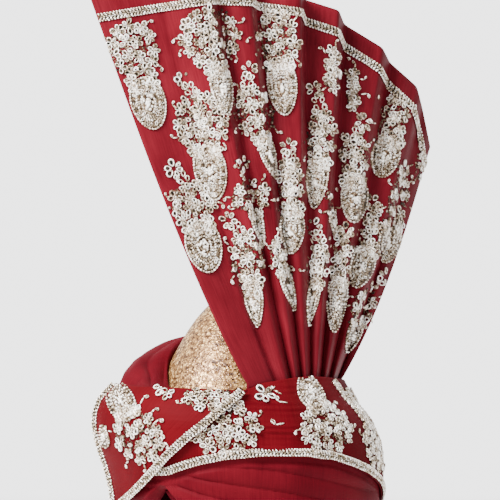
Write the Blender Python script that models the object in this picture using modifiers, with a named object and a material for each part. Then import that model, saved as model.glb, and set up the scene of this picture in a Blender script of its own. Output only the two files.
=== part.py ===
"""Tied turban pagri: a gold cap wound in red satin, with two embroidered laps and a pleated fan.

Sizes are in millimetres and become metres in make_object. The origin is the middle of the head
opening at the brow line. +Z is up, the brow faces -Y and the wearer's left is +X. The fan and the
laps are laid out as seen from the side that they face: across to the right, forward to the viewer.
"""

import math

import bpy
import numpy as np

OBJECT = "tied_turban_pagri"
MM = 0.001

# The head opening and the winding round it
FACE_TURN = math.radians(32)  # the fan faces this far to the left of the brow
WRAP_HALF_X = 110.0
WRAP_HALF_Y = 130.0
HOLLOW_HALF_X = 80.5
GAP = 0.3
BRAID_LIFT = 1.75  # from the cloth to the braid's face

# Cap
CAP_LENGTHEN = 1.24  # the cap and the head opening are this much longer than wide
CAP_WALL = 2.0
CAP_SIDES = 40

# Cloth
LAP_THICK = 1.4
FACE_ROUND = 5.0
LAP_STEP = 2.5  # from the face of the lap that goes round to the winding inside it
FLAP_STEP = 4.4  # from the face of the flap to the face of the lap and the braid under it
SECTIONS = 60
FOLD_DEPTH = 2.4
FOLD_PITCH = 12.0
MOUND = ((0.93, 1.0), (0.78, 0.93), (0.58, 0.84), (0.38, 0.72), (0.2, 0.5), (0.08, 0.25))
MOUND_FOLD = 1.8

# Fan
FAN_THICK = 1.3
FAN_FOOT = 92.0
FAN_NECK = 112.0
FAN_INSET = 4.8  # from the face of the lap to the fan's ridges at the neck
PLEAT_AT_NECK = 4.5
FAN_ROWS = (0.0, 0.07, 0.16, 0.28, 0.42, 0.56, 0.70, 0.82, 0.91, 1.0)

# Braid
BRAID_WIDE = 6.8
BRAID_THICK = 1.0
FAN_BRAID_DROP = 15.0  # from the fan's upper edge to the braid


def table(columns, rows):
    """The rows' numbers by column name."""
    return dict(zip(columns.split(), np.array(rows, float).T))


# Half width of the cap by height, from the skirt to the tip
CAP = table(
    "height radius",
    [
        (40, 79.0),
        (60, 75.5),
        (80, 70.0),
        (98, 63.5),
        (113, 57.0),
        (127, 53.0),
        (141, 46.3),
        (152, 40.2),
        (163, 33.2),
        (173, 24.9),
        (181, 16.0),
        (187, 7.5),
        (190, 0.0),
    ],
)

# How far the laps' face stands out from the nominal oval at the left and right silhouettes
LAP_FACE = table(
    "height left right",
    [
        (-20, -22.0, -14.0),
        (-8, -17.0, -6.0),
        (5, -14.5, -2.0),
        (16, -14.0, -0.6),
        (27, -13.5, 0.6),
        (39, -11.0, 1.0),
        (55, -5.5, -0.8),
        (72, -0.6, -5.5),
        (82, 0.6, -10.0),
        (95, -2.0, -21.5),
        (104, -8.0, -27.0),
        (112, -18.0, -30.0),
        (119, -26.0, -34.0),
    ],
)

# The winding by angle from the fan's face: lower rim, shoulder, crest and where it meets the cap
WINDING = table(
    "angle rim shoulder crest contact",
    [
        (-180, -17, 106, 150, 146),
        (-150, -17, 106, 154, 150),
        (-120, -16, 106, 150, 146),
        (-100, -13, 106, 143, 139),
        (-85, -8, 106, 137, 132),
        (-65, 2, 104, 117, 113),
        (-50, 14, 102, 105, 103),
        (-39, 31, 102, 103, 102),
        (-33, 18, 101, 102, 101),
        (-24, 4, 101, 101, 100),
        (-14, -6, 99, 99, 98),
        (-4, -11, 90, 90, 89),
        (45, -17, 90, 90, 89),
        (97, -18, 90, 90, 89),
        (108, -18, 99, 99, 97),
        (118, -17, 104, 108, 106),
        (140, -17, 106, 128, 124),
        (180, -17, 106, 150, 146),
    ],
)

# Height of the crease that runs from the inverted V round under the laps
CREASE = table(
    "angle height",
    [(-180, 20), (-60, 38), (-30, 41), (-17, 35), (0, 29), (22, 22), (60, 10), (110, 2), (180, 20)],
)

# Edges of the lap that goes round the head
LAP_UNDER = table(
    "angle low high",
    [
        (-180, 2, 110),
        (-150, 8, 110),
        (-120, 20, 108),
        (-90, 31, 105),
        (-60, 37, 103),
        (-34, 38, 101),
        (-19, 46, 101),
        (-7, 50.5, 103),
        (5, 52.5, 108),
        (13, 52.6, 112.5),
        (28, 52.3, 116),
        (40, 50, 117.3),
        (53, 43.5, 116.5),
        (63, 38, 115.5),
        (76, 29, 114.5),
        (88, 17, 113),
        (120, 6, 110),
        (180, 2, 110),
    ],
)

# Borders of the flap from its tip up: the left one by angle, the slanting one as seen from the front
LAP_OVER = table(
    "share left_height left_angle slant_height slant_across",
    [
        (0.0, 13.5, -76, 14.5, -94.0),
        (0.17, 30, -78, 32, -76.0),
        (0.40, 52, -79, 54, -55.9),
        (0.58, 72, -79, 70, -38.0),
        (0.74, 88, -79, 83, -21.0),
        (0.86, 101, -79, 94, -8.1),
        (1.0, 111.5, -80, 106.5, 6.5),
    ],
)
FLAP_LIFT = 3.0  # the flap's left border stands off the head
FLAP_COLUMNS = 16
FLAP_SHARES = np.concatenate([[0, 0.07], np.linspace(0.14, 1, 12)])

# Fold lines of the fan, left to right: a ridge is 1 and a valley 0. bow is a sideways curve
PLEATS = table(
    "ridge top_across top_height top_forward neck_across bow bow_at",
    [
        (1, -120.7, 422.8, 80, 5.7, -6.5, 0.40),
        (0, -64.8, 432.5, 66, 28.0, -3.0, 0.45),
        (1, -28.4, 438.2, 70, 34.5, -1.0, 0.50),
        (0, -21.0, 438.2, 48, 39.0, 0.0, 0.50),
        (1, 7.3, 437.4, 43, 44.0, 0.0, 0.50),
        (0, 11.3, 434.2, 20, 47.5, 0.0, 0.50),
        (1, 49.4, 429.3, 14, 52.0, -2.0, 0.40),
        (0, 51.8, 422.0, -12, 55.0, 0.0, 0.50),
        (1, 80.2, 413.1, -18, 58.5, 2.5, 0.35),
        (0, 85.0, 401.8, -46, 62.5, 1.0, 0.50),
        (1, 115.8, 383.1, -50, 66.5, 1.0, 0.50),
        (0, 122.3, 371.0, -76, 69.5, 2.0, 0.50),
        (1, 144.2, 351.5, -80, 73.5, 3.0, 0.60),
        (0, 146.6, 342.6, -98, 78.0, 8.0, 0.74),
        (1, 151.5, 322.4, -116, 83.5, 12.0, 0.74),
    ],
)
PANEL_BULGE = 2.0
FAN_HALVES = 2  # steps between two fold lines

COLOURS = {
    "gold_tinsel": ((0.72, 0.52, 0.31), 0.45, 0.6),
    "red_satin": ((0.42, 0.016, 0.028), 0.38, 0.0),
    "embroidered_satin": ((0.45, 0.05, 0.05), 0.42, 0.0),
    "silver_braid": ((0.62, 0.58, 0.52), 0.35, 0.7),
}


def place(across, forward, height):
    """A point of the fan's layout in the head's own axes."""
    across, forward, height = np.broadcast_arrays(across, forward, height)
    x = across * math.cos(FACE_TURN) + forward * math.sin(FACE_TURN)
    y = across * math.sin(FACE_TURN) - forward * math.cos(FACE_TURN)
    return np.stack([x, y, height], axis=-1).astype(float)


def oval(offset):
    """Half width seen from the fan's side, sideways lean and half depth of the oval grown by offset."""
    half_x = WRAP_HALF_X + offset
    half_y = WRAP_HALF_Y + offset
    wide = np.hypot(half_x * math.cos(FACE_TURN), half_y * math.sin(FACE_TURN))
    lean = math.sin(FACE_TURN) * math.cos(FACE_TURN) * (half_x**2 - half_y**2) / wide
    return wide, lean, half_x * half_y / wide


def wrap_point(angle, offset, height):
    """The point of the grown oval at an angle from the fan's side, in degrees, positive to the right."""
    wide, lean, deep = oval(offset)
    turn = np.radians(angle)
    return place(wide * np.sin(turn), lean * np.sin(turn) + deep * np.cos(turn), height)


def lap_face(angle, height):
    """How far the laps' face stands out from the nominal oval, with the table's corners rounded."""
    share = 0.5 + 0.5 * np.sin(np.radians(angle))
    total = 0.0
    for shift in (-FACE_ROUND, 0.0, FACE_ROUND):
        left = np.interp(height + shift, LAP_FACE["height"], LAP_FACE["left"])
        right = np.interp(height + shift, LAP_FACE["height"], LAP_FACE["right"])
        total = total + (left + (right - left) * share) / 3
    return total


def lap_face_out(angle, height, distance):
    """The same, moved out by a distance measured square to the cloth."""
    slope = (lap_face(angle, height + 3) - lap_face(angle, height - 3)) / 6
    return lap_face(angle, height) + distance * np.sqrt(1 + slope * slope)


def angle_seen(across, height):
    """The angle at which the laps' face lies this far across, in front."""
    angle = np.zeros(np.broadcast(across, height).shape)
    for _ in range(8):
        wide = oval(lap_face(angle, height))[0]
        angle = np.degrees(np.arcsin(np.clip(across / wide, -1, 1)))
    return angle


def by_angle(rows, column, angle):
    return np.interp((np.asarray(angle) + 180) % 360 - 180, rows["angle"], rows[column])


def ease(start, end, value):
    """Goes smoothly from 0 at start to 1 at end."""
    share = np.clip((value - start) / (end - start), 0, 1)
    return share * share * (3 - 2 * share)


def make_collection():
    for item in list(bpy.data.objects):
        bpy.data.objects.remove(item, do_unlink=True)
    collection = bpy.data.collections.new(OBJECT)
    bpy.context.scene.collection.children.link(collection)
    return collection


def make_material(name):
    colour, roughness, metallic = COLOURS[name]
    material = bpy.data.materials.new(name)
    material.use_nodes = True
    shader = material.node_tree.nodes["Principled BSDF"]
    shader.inputs["Base Color"].default_value = (*colour, 1)
    shader.inputs["Roughness"].default_value = roughness
    shader.inputs["Metallic"].default_value = metallic
    material.diffuse_color = (*colour, 1)
    return material


def make_object(name, points, faces, material):
    mesh = bpy.data.meshes.new(name)
    mesh.from_pydata((np.asarray(points) * MM).tolist(), [], faces)
    mesh.validate()
    mesh.materials.append(MATERIALS[material])
    made = bpy.data.objects.new(name, mesh)
    COLLECTION.objects.link(made)
    mesh.shade_smooth()
    mesh.set_sharp_from_angle(angle=math.radians(50))
    return made


def grid_faces(rows, columns, round_rows=False, round_columns=False, keep=None):
    """Quads of a grid of points, closed round either way, or only those cells that keep has."""
    faces = []
    for row in range(rows if round_rows else rows - 1):
        for column in range(columns if round_columns else columns - 1):
            if keep is not None and not keep[row, column]:
                continue
            below, right = (row + 1) % rows, (column + 1) % columns
            faces.append(
                (
                    row * columns + column,
                    row * columns + right,
                    below * columns + right,
                    below * columns + column,
                )
            )
    return faces


def make_sheet(name, grid, thickness, material, round_columns=False, keep=None):
    """A cloth from its face: rows run up and columns run to the right, and Solidify goes in behind."""
    rows, columns = grid.shape[:2]
    faces = grid_faces(rows, columns, False, round_columns, keep)
    used = np.unique(np.array(faces))
    place_of = {int(old): new for new, old in enumerate(used)}
    faces = [tuple(place_of[corner] for corner in face) for face in faces]
    made = make_object(name, grid.reshape(-1, 3)[used], faces, material)
    solid = made.modifiers.new("cloth", "SOLIDIFY")
    solid.thickness = thickness * MM
    solid.offset = -1
    solid.use_even_offset = False
    return made


def kulla_cap():
    """A turned wall, longer fore and aft, open below."""
    outside = list(zip(CAP["radius"], CAP["height"]))[::-1]
    inside = [(max(r - CAP_WALL, 0), z - (CAP_WALL if r == 0 else 0)) for r, z in outside[::-1]]
    profile = [(r, 0, z) for r, z in outside + inside]
    edges = [(i, i + 1) for i in range(len(profile) - 1)]
    mesh = bpy.data.meshes.new("kulla_cap")
    mesh.from_pydata([tuple(c * MM for c in p) for p in profile], edges, [])
    mesh.materials.append(MATERIALS["gold_tinsel"])
    cap = bpy.data.objects.new("kulla_cap", mesh)
    COLLECTION.objects.link(cap)
    cap.scale = (1, CAP_LENGTHEN, 1)
    turn = cap.modifiers.new("turn", "SCREW")
    turn.steps = turn.render_steps = CAP_SIDES
    turn.use_merge_vertices = True
    turn.merge_threshold = 0.0001
    turn.use_smooth_shade = True


def under_face(angle, height, out=0.0):
    """The face of the lap that goes round, moved out: it is sunk where the flap lies over it."""
    turned = (np.asarray(angle) + 180) % 360 - 180
    covered = ease(26, 8, turned) * ease(-125, -95, turned)
    return lap_face_out(angle, height, out - FLAP_STEP * covered)


def cap_wall(angle, height, clear):
    """A point just outside the cap, or outside the head opening below its skirt."""
    radius = np.interp(height, CAP["height"], CAP["radius"]) + clear
    radius = np.where(height < CAP["height"][0], HOLLOW_HALF_X, radius)
    turn = np.radians(angle) + FACE_TURN
    x = radius * np.sin(turn)
    y = -radius * CAP_LENGTHEN * np.cos(turn)
    return np.stack(np.broadcast_arrays(x, y, height), axis=-1).astype(float)


def fold_relief(angle, height):
    """Rounded folds between creases that fan out from the inverted V."""
    count = (by_angle(CREASE, "height", angle) - height) / FOLD_PITCH
    shown = ease(-3, -8, height - by_angle(LAP_UNDER, "low", angle))
    return FOLD_DEPTH * shown * np.abs(np.sin(math.pi * count)) ** 0.7


def wound_cloth():
    """A thick roll: each section runs up the cap, over the crest, down the outside and under the rim."""
    angle = np.linspace(-180, 180, SECTIONS, endpoint=False)
    rim = by_angle(WINDING, "rim", angle)
    shoulder = by_angle(WINDING, "shoulder", angle)
    crest = by_angle(WINDING, "crest", angle)
    contact = by_angle(WINDING, "contact", angle)
    rows = []
    skirt = CAP["height"][0]
    for share in (0.0, 0.5, 0.97):
        rows.append(cap_wall(angle, rim + 7 + (skirt - rim - 7) * share, GAP))
    heights = [h for h in CAP["height"] if h <= 141]
    for left, height in zip(range(len(heights), 0, -1), heights):
        rows.append(cap_wall(angle, np.minimum(height, contact - left), GAP))
    top = cap_wall(angle, contact, GAP)
    rows.append(top)
    proud = ease(shoulder + 4, shoulder + 16, crest)
    brow = shoulder + 5 * proud
    edge = wrap_point(angle, under_face(angle, brow, -LAP_STEP), brow)
    for inward, rise in MOUND:
        ring = edge + (top - edge) * inward
        crease = MOUND_FOLD * np.sin(2 * math.pi * (1.6 * inward + angle / 95)) * proud
        ring[:, 2] = brow + (crest - brow) * rise + crease * ease(0.0, 0.3, inward)
        rows.append(ring)
    rows.append(edge)
    rows.append(wrap_point(angle, under_face(angle, shoulder - 4, -LAP_STEP), shoulder - 4))
    for height in (84.0, 77.0, 70.0, 62.0):
        rows.append(wrap_point(angle, under_face(angle, height, -LAP_STEP), height))
    for share in np.linspace(0, 1, 13):
        height = 56 + (rim + 4 - 56) * share
        offset = under_face(angle, height, -LAP_STEP) + fold_relief(angle, height)
        rows.append(wrap_point(angle, offset, height))
    rows.append(wrap_point(angle, lap_face(angle, rim) - 11, rim))
    rows.append(cap_wall(angle, rim + 1.5, GAP) * (1.05, 1.05, 1))
    grid = np.array(rows)
    faces = grid_faces(len(rows), SECTIONS, True, True)
    make_object("wound_cloth", grid.reshape(-1, 3), [f[::-1] for f in faces], "red_satin")


def lap_under_grid(angle, shares):
    low = by_angle(LAP_UNDER, "low", angle)
    high = by_angle(LAP_UNDER, "high", angle)
    height = low + (high - low) * np.asarray(shares)[:, None]
    return wrap_point(angle, under_face(angle, height), height)


def band_under():
    angle = np.linspace(-180, 180, SECTIONS, endpoint=False)
    grid = lap_under_grid(angle, np.linspace(0, 1, 10))
    make_sheet("band_under", grid, LAP_THICK, "embroidered_satin", round_columns=True)


def band_under_braid():
    angle = np.linspace(-180, 180, SECTIONS, endpoint=False)
    low = by_angle(LAP_UNDER, "low", angle)
    rows = []
    for rise in (0.4, 0.4 + BRAID_WIDE):
        offset = under_face(angle, low + rise, BRAID_LIFT)
        rows.append(wrap_point(angle, offset, low + rise))
    make_sheet("band_under_braid", np.array(rows), BRAID_THICK, "silver_braid", round_columns=True)


def flap_point(share, side, out=0.0):
    """A point of the flap: share runs up from the tip and side from the left border to the slant."""
    left_height = np.interp(share, LAP_OVER["share"], LAP_OVER["left_height"])
    left_angle = np.interp(share, LAP_OVER["share"], LAP_OVER["left_angle"])
    slant_height = np.interp(share, LAP_OVER["share"], LAP_OVER["slant_height"])
    slant_across = np.interp(share, LAP_OVER["share"], LAP_OVER["slant_across"])
    slant_angle = angle_seen(slant_across, slant_height)
    angle = left_angle + (slant_angle - left_angle) * side
    height = left_height + (slant_height - left_height) * side
    lift = FLAP_LIFT * ease(-55, -80, angle)
    return wrap_point(angle, lap_face_out(angle, height, out) + lift, height)


def flap_width(share):
    return np.linalg.norm(flap_point(share, 1.0) - flap_point(share, 0.0), axis=-1)


def band_over():
    share, side = np.meshgrid(FLAP_SHARES, np.linspace(0, 1, FLAP_COLUMNS), indexing="ij")
    make_sheet("band_over", flap_point(share, side), LAP_THICK, "embroidered_satin")


def band_over_braid():
    """A strip up both borders of the flap, whole across the tip where they meet."""
    share = np.clip(FLAP_SHARES, 0.004, 0.992)
    wide = np.minimum(BRAID_WIDE / flap_width(share), 0.36)
    side = np.stack([0 * share + 0.003, wide, 1 - wide, 0 * share + 0.997], axis=1)
    grid = flap_point(share[:, None] + 0 * side, side, BRAID_LIFT)
    keep = np.ones((len(share) - 1, 3), bool)
    keep[1:, 1] = False
    make_sheet("band_over_braid", grid, BRAID_THICK, "silver_braid", keep=keep)


def fan_lines():
    """The fan's fold lines with the half-way lines between them, as columns of the pleat table."""
    count = len(PLEATS["ridge"])
    at = np.linspace(0, count - 1, (count - 1) * FAN_HALVES + 1)
    lines = {name: np.interp(at, np.arange(count), values) for name, values in PLEATS.items()}
    lines["bulge"] = PANEL_BULGE * np.sin(math.pi * (at % 1))
    return lines


def fan_neck(lines):
    """Where each line passes between the laps and the cap: (across, forward)."""
    angle = angle_seen(lines["neck_across"], FAN_NECK)
    for _ in range(4):
        offset = lap_face(angle, FAN_NECK) - FAN_INSET - PLEAT_AT_NECK * (1 - lines["ridge"])
        wide, lean, deep = oval(offset)
        angle = np.degrees(np.arcsin(np.clip(lines["neck_across"] / wide, -1, 1)))
    turn = np.radians(angle)
    return wide * np.sin(turn), lean * np.sin(turn) + deep * np.cos(turn)


def fan_point(lines, rise):
    """A point of each line: rise runs from 0 at the neck to 1 at the upper edge."""
    across, forward = fan_neck(lines)
    power = math.log(0.5) / np.log(lines["bow_at"])
    bow = lines["bow"] * np.sin(math.pi * np.clip(rise, 0, 1) ** power)
    x = across + (lines["top_across"] - across) * rise + bow
    ahead = forward + (lines["top_forward"] - forward) * rise**1.1 + lines["bulge"] * rise
    return place(x, ahead, FAN_NECK + (lines["top_height"] - FAN_NECK) * rise)


def fan_length(lines):
    return np.linalg.norm(fan_point(lines, 1.0) - fan_point(lines, 0.0), axis=-1)


def facing(grid):
    """Unit normals of a grid of points, towards the face."""
    along = np.gradient(grid, axis=1)
    along /= np.linalg.norm(along, axis=2, keepdims=True)
    normal = np.cross(along, np.gradient(grid, axis=0))
    return normal / np.linalg.norm(normal, axis=2, keepdims=True)


def turra_fan():
    lines = fan_lines()
    foot = fan_point(lines, 0.0)
    foot[:, 2] = FAN_FOOT
    grid = np.array([foot] + [fan_point(lines, np.full(foot.shape[0], rise)) for rise in FAN_ROWS])
    make_sheet("turra_fan", grid, FAN_THICK, "embroidered_satin")


def fan_braid():
    lines = fan_lines()
    length = fan_length(lines)
    drops = (FAN_BRAID_DROP + BRAID_WIDE, FAN_BRAID_DROP)
    rows = np.array([fan_point(lines, 1 - drop / length) for drop in drops])
    rows = rows + facing(rows) * BRAID_LIFT
    make_sheet("fan_braid", rows, BRAID_THICK, "silver_braid")


COLLECTION = make_collection()
MATERIALS = {name: make_material(name) for name in COLOURS}
kulla_cap()
wound_cloth()
band_under()
band_under_braid()
band_over()
band_over_braid()
turra_fan()
fan_braid()
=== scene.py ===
# %% [markdown]
# A groom's turban is one long satin cloth that is wound round a pointed cap. Its pleated and
# starched end stands up as a fan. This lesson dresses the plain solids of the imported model: each
# cloth becomes a fine numpy surface, and the silver work becomes thousands of small stitches.

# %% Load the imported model
import math

import bpy
import numpy as np
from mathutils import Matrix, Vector
from mathutils.bvhtree import BVHTree


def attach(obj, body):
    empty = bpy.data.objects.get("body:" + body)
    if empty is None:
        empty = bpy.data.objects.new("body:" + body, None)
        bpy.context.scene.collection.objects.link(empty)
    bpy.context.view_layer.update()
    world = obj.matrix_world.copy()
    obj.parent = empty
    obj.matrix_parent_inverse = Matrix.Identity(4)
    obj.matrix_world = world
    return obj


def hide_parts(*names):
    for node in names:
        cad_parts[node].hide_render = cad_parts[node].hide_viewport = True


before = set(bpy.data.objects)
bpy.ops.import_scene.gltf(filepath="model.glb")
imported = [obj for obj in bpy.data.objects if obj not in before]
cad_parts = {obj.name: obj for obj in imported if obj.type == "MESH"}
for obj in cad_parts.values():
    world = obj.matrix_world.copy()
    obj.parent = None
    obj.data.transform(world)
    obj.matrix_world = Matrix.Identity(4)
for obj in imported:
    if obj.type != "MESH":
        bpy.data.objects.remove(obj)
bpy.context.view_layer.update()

MM = 0.001

# %% [markdown]
# The laps lie on an oval that is longer fore and aft, and the fan is turned to the wearer's left.
# All places are laid out as seen from the fan's side, in millimetres: across to the right, forward
# to the viewer, and height. The tables repeat the solids' own numbers, so each piece fits its node.

# %% Tables of the turban's shape
def table(columns, rows):
    """The rows' numbers by column name."""
    return dict(zip(columns.split(), np.array(rows, float).T))


FACE_TURN = math.radians(32)  # the fan faces this far to the left of the brow
WRAP_HALF_X, WRAP_HALF_Y, HOLLOW_HALF_X = 110.0, 130.0, 80.5
GAP, FACE_ROUND, LAP_STEP, FLAP_STEP, FLAP_LIFT = 0.3, 5.0, 2.5, 4.4, 3.0
CAP_LENGTHEN, CAP_WALL = 1.24, 2.0
FAN_FOOT, FAN_NECK, FAN_INSET, PLEAT_AT_NECK, PANEL_BULGE = 92.0, 112.0, 4.8, 4.5, 2.0
BRAID_WIDE, FAN_BRAID_DROP = 6.8, 15.0

CAP = table(
    "height radius",
    [(40, 79.0), (60, 75.5), (80, 70.0), (98, 63.5), (113, 57.0), (127, 53.0), (141, 46.3),
     (152, 40.2), (163, 33.2), (173, 24.9), (181, 16.0), (187, 7.5), (190, 0.0)],
)
LAP_FACE = table(
    "height left right",
    [(-20, -22.0, -14.0), (-8, -17.0, -6.0), (5, -14.5, -2.0), (16, -14.0, -0.6), (27, -13.5, 0.6),
     (39, -11.0, 1.0), (55, -5.5, -0.8), (72, -0.6, -5.5), (82, 0.6, -10.0), (95, -2.0, -21.5),
     (104, -8.0, -27.0), (112, -18.0, -30.0), (119, -26.0, -34.0)],
)
WINDING = table(
    "angle rim shoulder crest contact",
    [(-180, -17, 106, 150, 146), (-150, -17, 106, 154, 150), (-120, -16, 106, 150, 146),
     (-100, -13, 106, 143, 139), (-85, -8, 106, 137, 132), (-65, 2, 104, 117, 113),
     (-50, 14, 102, 105, 103), (-39, 31, 102, 103, 102), (-33, 18, 101, 102, 101),
     (-24, 4, 101, 101, 100), (-14, -6, 99, 99, 98), (-4, -11, 90, 90, 89), (45, -17, 90, 90, 89),
     (97, -18, 90, 90, 89), (108, -18, 99, 99, 97), (118, -17, 104, 108, 106),
     (140, -17, 106, 128, 124), (180, -17, 106, 150, 146)],
)
CREASE = table(
    "angle height",
    [(-180, 20), (-60, 38), (-30, 41), (-17, 35), (0, 29), (22, 22), (60, 10), (110, 2), (180, 20)],
)
LAP_UNDER = table(
    "angle low high",
    [(-180, 2, 110), (-150, 8, 110), (-120, 20, 108), (-90, 31, 105), (-60, 37, 103),
     (-34, 38, 101), (-19, 46, 101), (-7, 50.5, 103), (5, 52.5, 108), (13, 52.6, 112.5),
     (28, 52.3, 116), (40, 50, 117.3), (53, 43.5, 116.5), (63, 38, 115.5), (76, 29, 114.5),
     (88, 17, 113), (120, 6, 110), (180, 2, 110)],
)
LAP_OVER = table(
    "share left_height left_angle slant_height slant_across",
    [(0.0, 13.5, -76, 14.5, -94.0), (0.17, 30, -78, 32, -76.0), (0.40, 52, -79, 54, -55.9),
     (0.58, 72, -79, 70, -38.0), (0.74, 88, -79, 83, -21.0), (0.86, 101, -79, 94, -8.1),
     (1.0, 111.5, -80, 106.5, 6.5)],
)
PLEATS = table(
    "ridge top_across top_height top_forward neck_across bow bow_at",
    [(1, -120.7, 422.8, 80, 5.7, -6.5, 0.40), (0, -64.8, 432.5, 66, 33.0, -6.0, 0.42),
     (1, -28.4, 438.2, 70, 38.2, -4.5, 0.42), (0, -21.0, 438.2, 48, 42.0, -3.0, 0.45),
     (1, 7.3, 437.4, 43, 46.0, -2.0, 0.45), (0, 11.3, 434.2, 20, 50.0, -1.0, 0.50),
     (1, 49.4, 429.3, 14, 54.0, -2.0, 0.40), (0, 51.8, 422.0, -12, 57.0, 0.0, 0.50),
     (1, 80.2, 413.1, -18, 61.0, 2.0, 0.35), (0, 85.0, 401.8, -46, 65.0, 1.0, 0.50),
     (1, 115.8, 383.1, -50, 68.5, 1.0, 0.50), (0, 122.3, 371.0, -76, 71.5, 2.0, 0.50),
     (1, 144.2, 351.5, -80, 75.0, 3.0, 0.60), (0, 149.0, 334.0, -100, 79.0, 6.5, 0.45),
     (1, 155.6, 302.5, -120, 86.0, 7.5, 0.40)],
)
print(len(PLEATS["ridge"]), "fold lines in the fan")

# %% Places on the oval of the laps
def place(across, forward, height):
    """Turns the layout by the fan's angle about the head's axis, into the head's own x, y and z."""
    across, forward, height = np.broadcast_arrays(across, forward, height)
    x = across * math.cos(FACE_TURN) + forward * math.sin(FACE_TURN)
    y = across * math.sin(FACE_TURN) - forward * math.cos(FACE_TURN)
    return np.stack([x, y, height], axis=-1).astype(float)


def oval(offset):
    """Half width seen from the fan's side, sideways lean and half depth of the oval grown by offset."""
    half_x, half_y = WRAP_HALF_X + offset, WRAP_HALF_Y + offset
    wide = np.hypot(half_x * math.cos(FACE_TURN), half_y * math.sin(FACE_TURN))
    lean = math.sin(FACE_TURN) * math.cos(FACE_TURN) * (half_x**2 - half_y**2) / wide
    return wide, lean, half_x * half_y / wide


def wrap_point(angle, offset, height):
    """The grown oval at an angle: wide times sine across, lean times sine plus deep times cosine forward."""
    wide, lean, deep = oval(offset)
    turn = np.radians(angle)
    return place(wide * np.sin(turn), lean * np.sin(turn) + deep * np.cos(turn), height)


def lap_face(angle, height):
    """How far the laps stand out from the oval: the table's left and right values mixed by the sine."""
    share = 0.5 + 0.5 * np.sin(np.radians(angle))
    total = 0.0
    for shift in (-FACE_ROUND, 0.0, FACE_ROUND):
        left = np.interp(height + shift, LAP_FACE["height"], LAP_FACE["left"])
        right = np.interp(height + shift, LAP_FACE["height"], LAP_FACE["right"])
        total = total + (left + (right - left) * share) / 3
    return total


def lap_face_out(angle, height, distance):
    """The laps' face moved out by a distance square to the cloth, from its slope with height."""
    slope = (lap_face(angle, height + 3) - lap_face(angle, height - 3)) / 6
    return lap_face(angle, height) + distance * np.sqrt(1 + slope * slope)


def angle_seen(across, height):
    """The angle whose sine times the half width is this far across, found in eight steps."""
    angle = np.zeros(np.broadcast(across, height).shape)
    for _ in range(8):
        wide = oval(lap_face(angle, height))[0]
        angle = np.degrees(np.arcsin(np.clip(across / wide, -1, 1)))
    return angle


def by_angle(rows, column, angle):
    """A table's column at any angle round the head."""
    return np.interp((np.asarray(angle) + 180) % 360 - 180, rows["angle"], rows[column])


def ease(start, end, value):
    """Goes smoothly from 0 at start to 1 at end: three squares less two cubes."""
    share = np.clip((value - start) / (end - start), 0, 1)
    return share * share * (3 - 2 * share)


def under_face(angle, height, out=0.0):
    """The face of the lap that goes round, sunk by one step where the flap lies over it."""
    turned = (np.asarray(angle) + 180) % 360 - 180
    covered = ease(26, 8, turned) * ease(-125, -95, turned)
    return lap_face_out(angle, height, out - FLAP_STEP * covered)


print("the laps are", round(float(2 * oval(lap_face(90, 40))[0])), "mm wide seen from the fan's side")

# %% Meshes from grids of points
def quads(rows, columns, round_rows=False, round_columns=False):
    """Corner numbers of each cell of a grid, counter-clockwise when rows go up and columns right."""
    row = np.arange(rows if round_rows else rows - 1)[:, None]
    column = np.arange(columns if round_columns else columns - 1)[None, :]
    above, right = (row + 1) % rows, (column + 1) % columns
    corners = (row * columns + column, row * columns + right, above * columns + right, above * columns + column)
    return np.stack(corners, axis=-1).reshape(-1, 4)


def new_piece(name, points, face_sets, material, uv=None, marks=None):
    """Puts points in millimetres and whole arrays of faces into a mesh that rides on the root."""
    corners = np.concatenate([faces.ravel() for faces in face_sets])
    sizes = np.concatenate([np.full(len(faces), faces.shape[1]) for faces in face_sets])
    mesh = bpy.data.meshes.new(name)
    mesh.vertices.add(len(points))
    mesh.vertices.foreach_set("co", (np.asarray(points) * MM).astype(np.float32).ravel())
    mesh.loops.add(len(corners))
    mesh.loops.foreach_set("vertex_index", corners.astype(np.int32))
    mesh.polygons.add(len(sizes))
    mesh.polygons.foreach_set("loop_start", np.concatenate([[0], np.cumsum(sizes)[:-1]]).astype(np.int32))
    mesh.update(calc_edges=True)
    if uv is not None:
        layer = mesh.uv_layers.new(name="UVMap")
        layer.data.foreach_set("uv", uv[corners].astype(np.float32).ravel())
    for mark, values in (marks or {}).items():
        mesh.attributes.new(mark, "FLOAT", "POINT").data.foreach_set("value", values.astype(np.float32))
    mesh.shade_smooth()
    mesh.materials.append(material)
    piece = bpy.data.objects.new(name, mesh)
    bpy.context.scene.collection.objects.link(piece)
    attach(piece, "root")
    print(f"{name}: {sum(len(f) * (f.shape[1] - 2) for f in face_sets)} triangles")
    return piece


def lengths(grid):
    """Cloth coordinates in millimetres: running lengths along the middle row and up the middle column."""
    row, column = grid[grid.shape[0] // 2], grid[:, grid.shape[1] // 2]
    along = np.concatenate([[0], np.cumsum(np.linalg.norm(np.diff(row, axis=0), axis=1))])
    up = np.concatenate([[0], np.cumsum(np.linalg.norm(np.diff(column, axis=0), axis=1))])
    return np.stack(np.meshgrid(along, up), axis=-1).reshape(-1, 2) / 1000


def close_seam(piece):
    """Joins the points that lie on each other where a grid comes round to its start."""
    merge = piece.modifiers.new("seam", "WELD")
    merge.merge_threshold = 0.00005


def thicken(piece, thickness):
    """Gives a sheet its thickness behind its face, and closes its edges."""
    solid = piece.modifiers.new("cloth", "SOLIDIFY")
    solid.thickness = thickness * MM
    solid.offset = -1
    solid.use_even_offset = False


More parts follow.
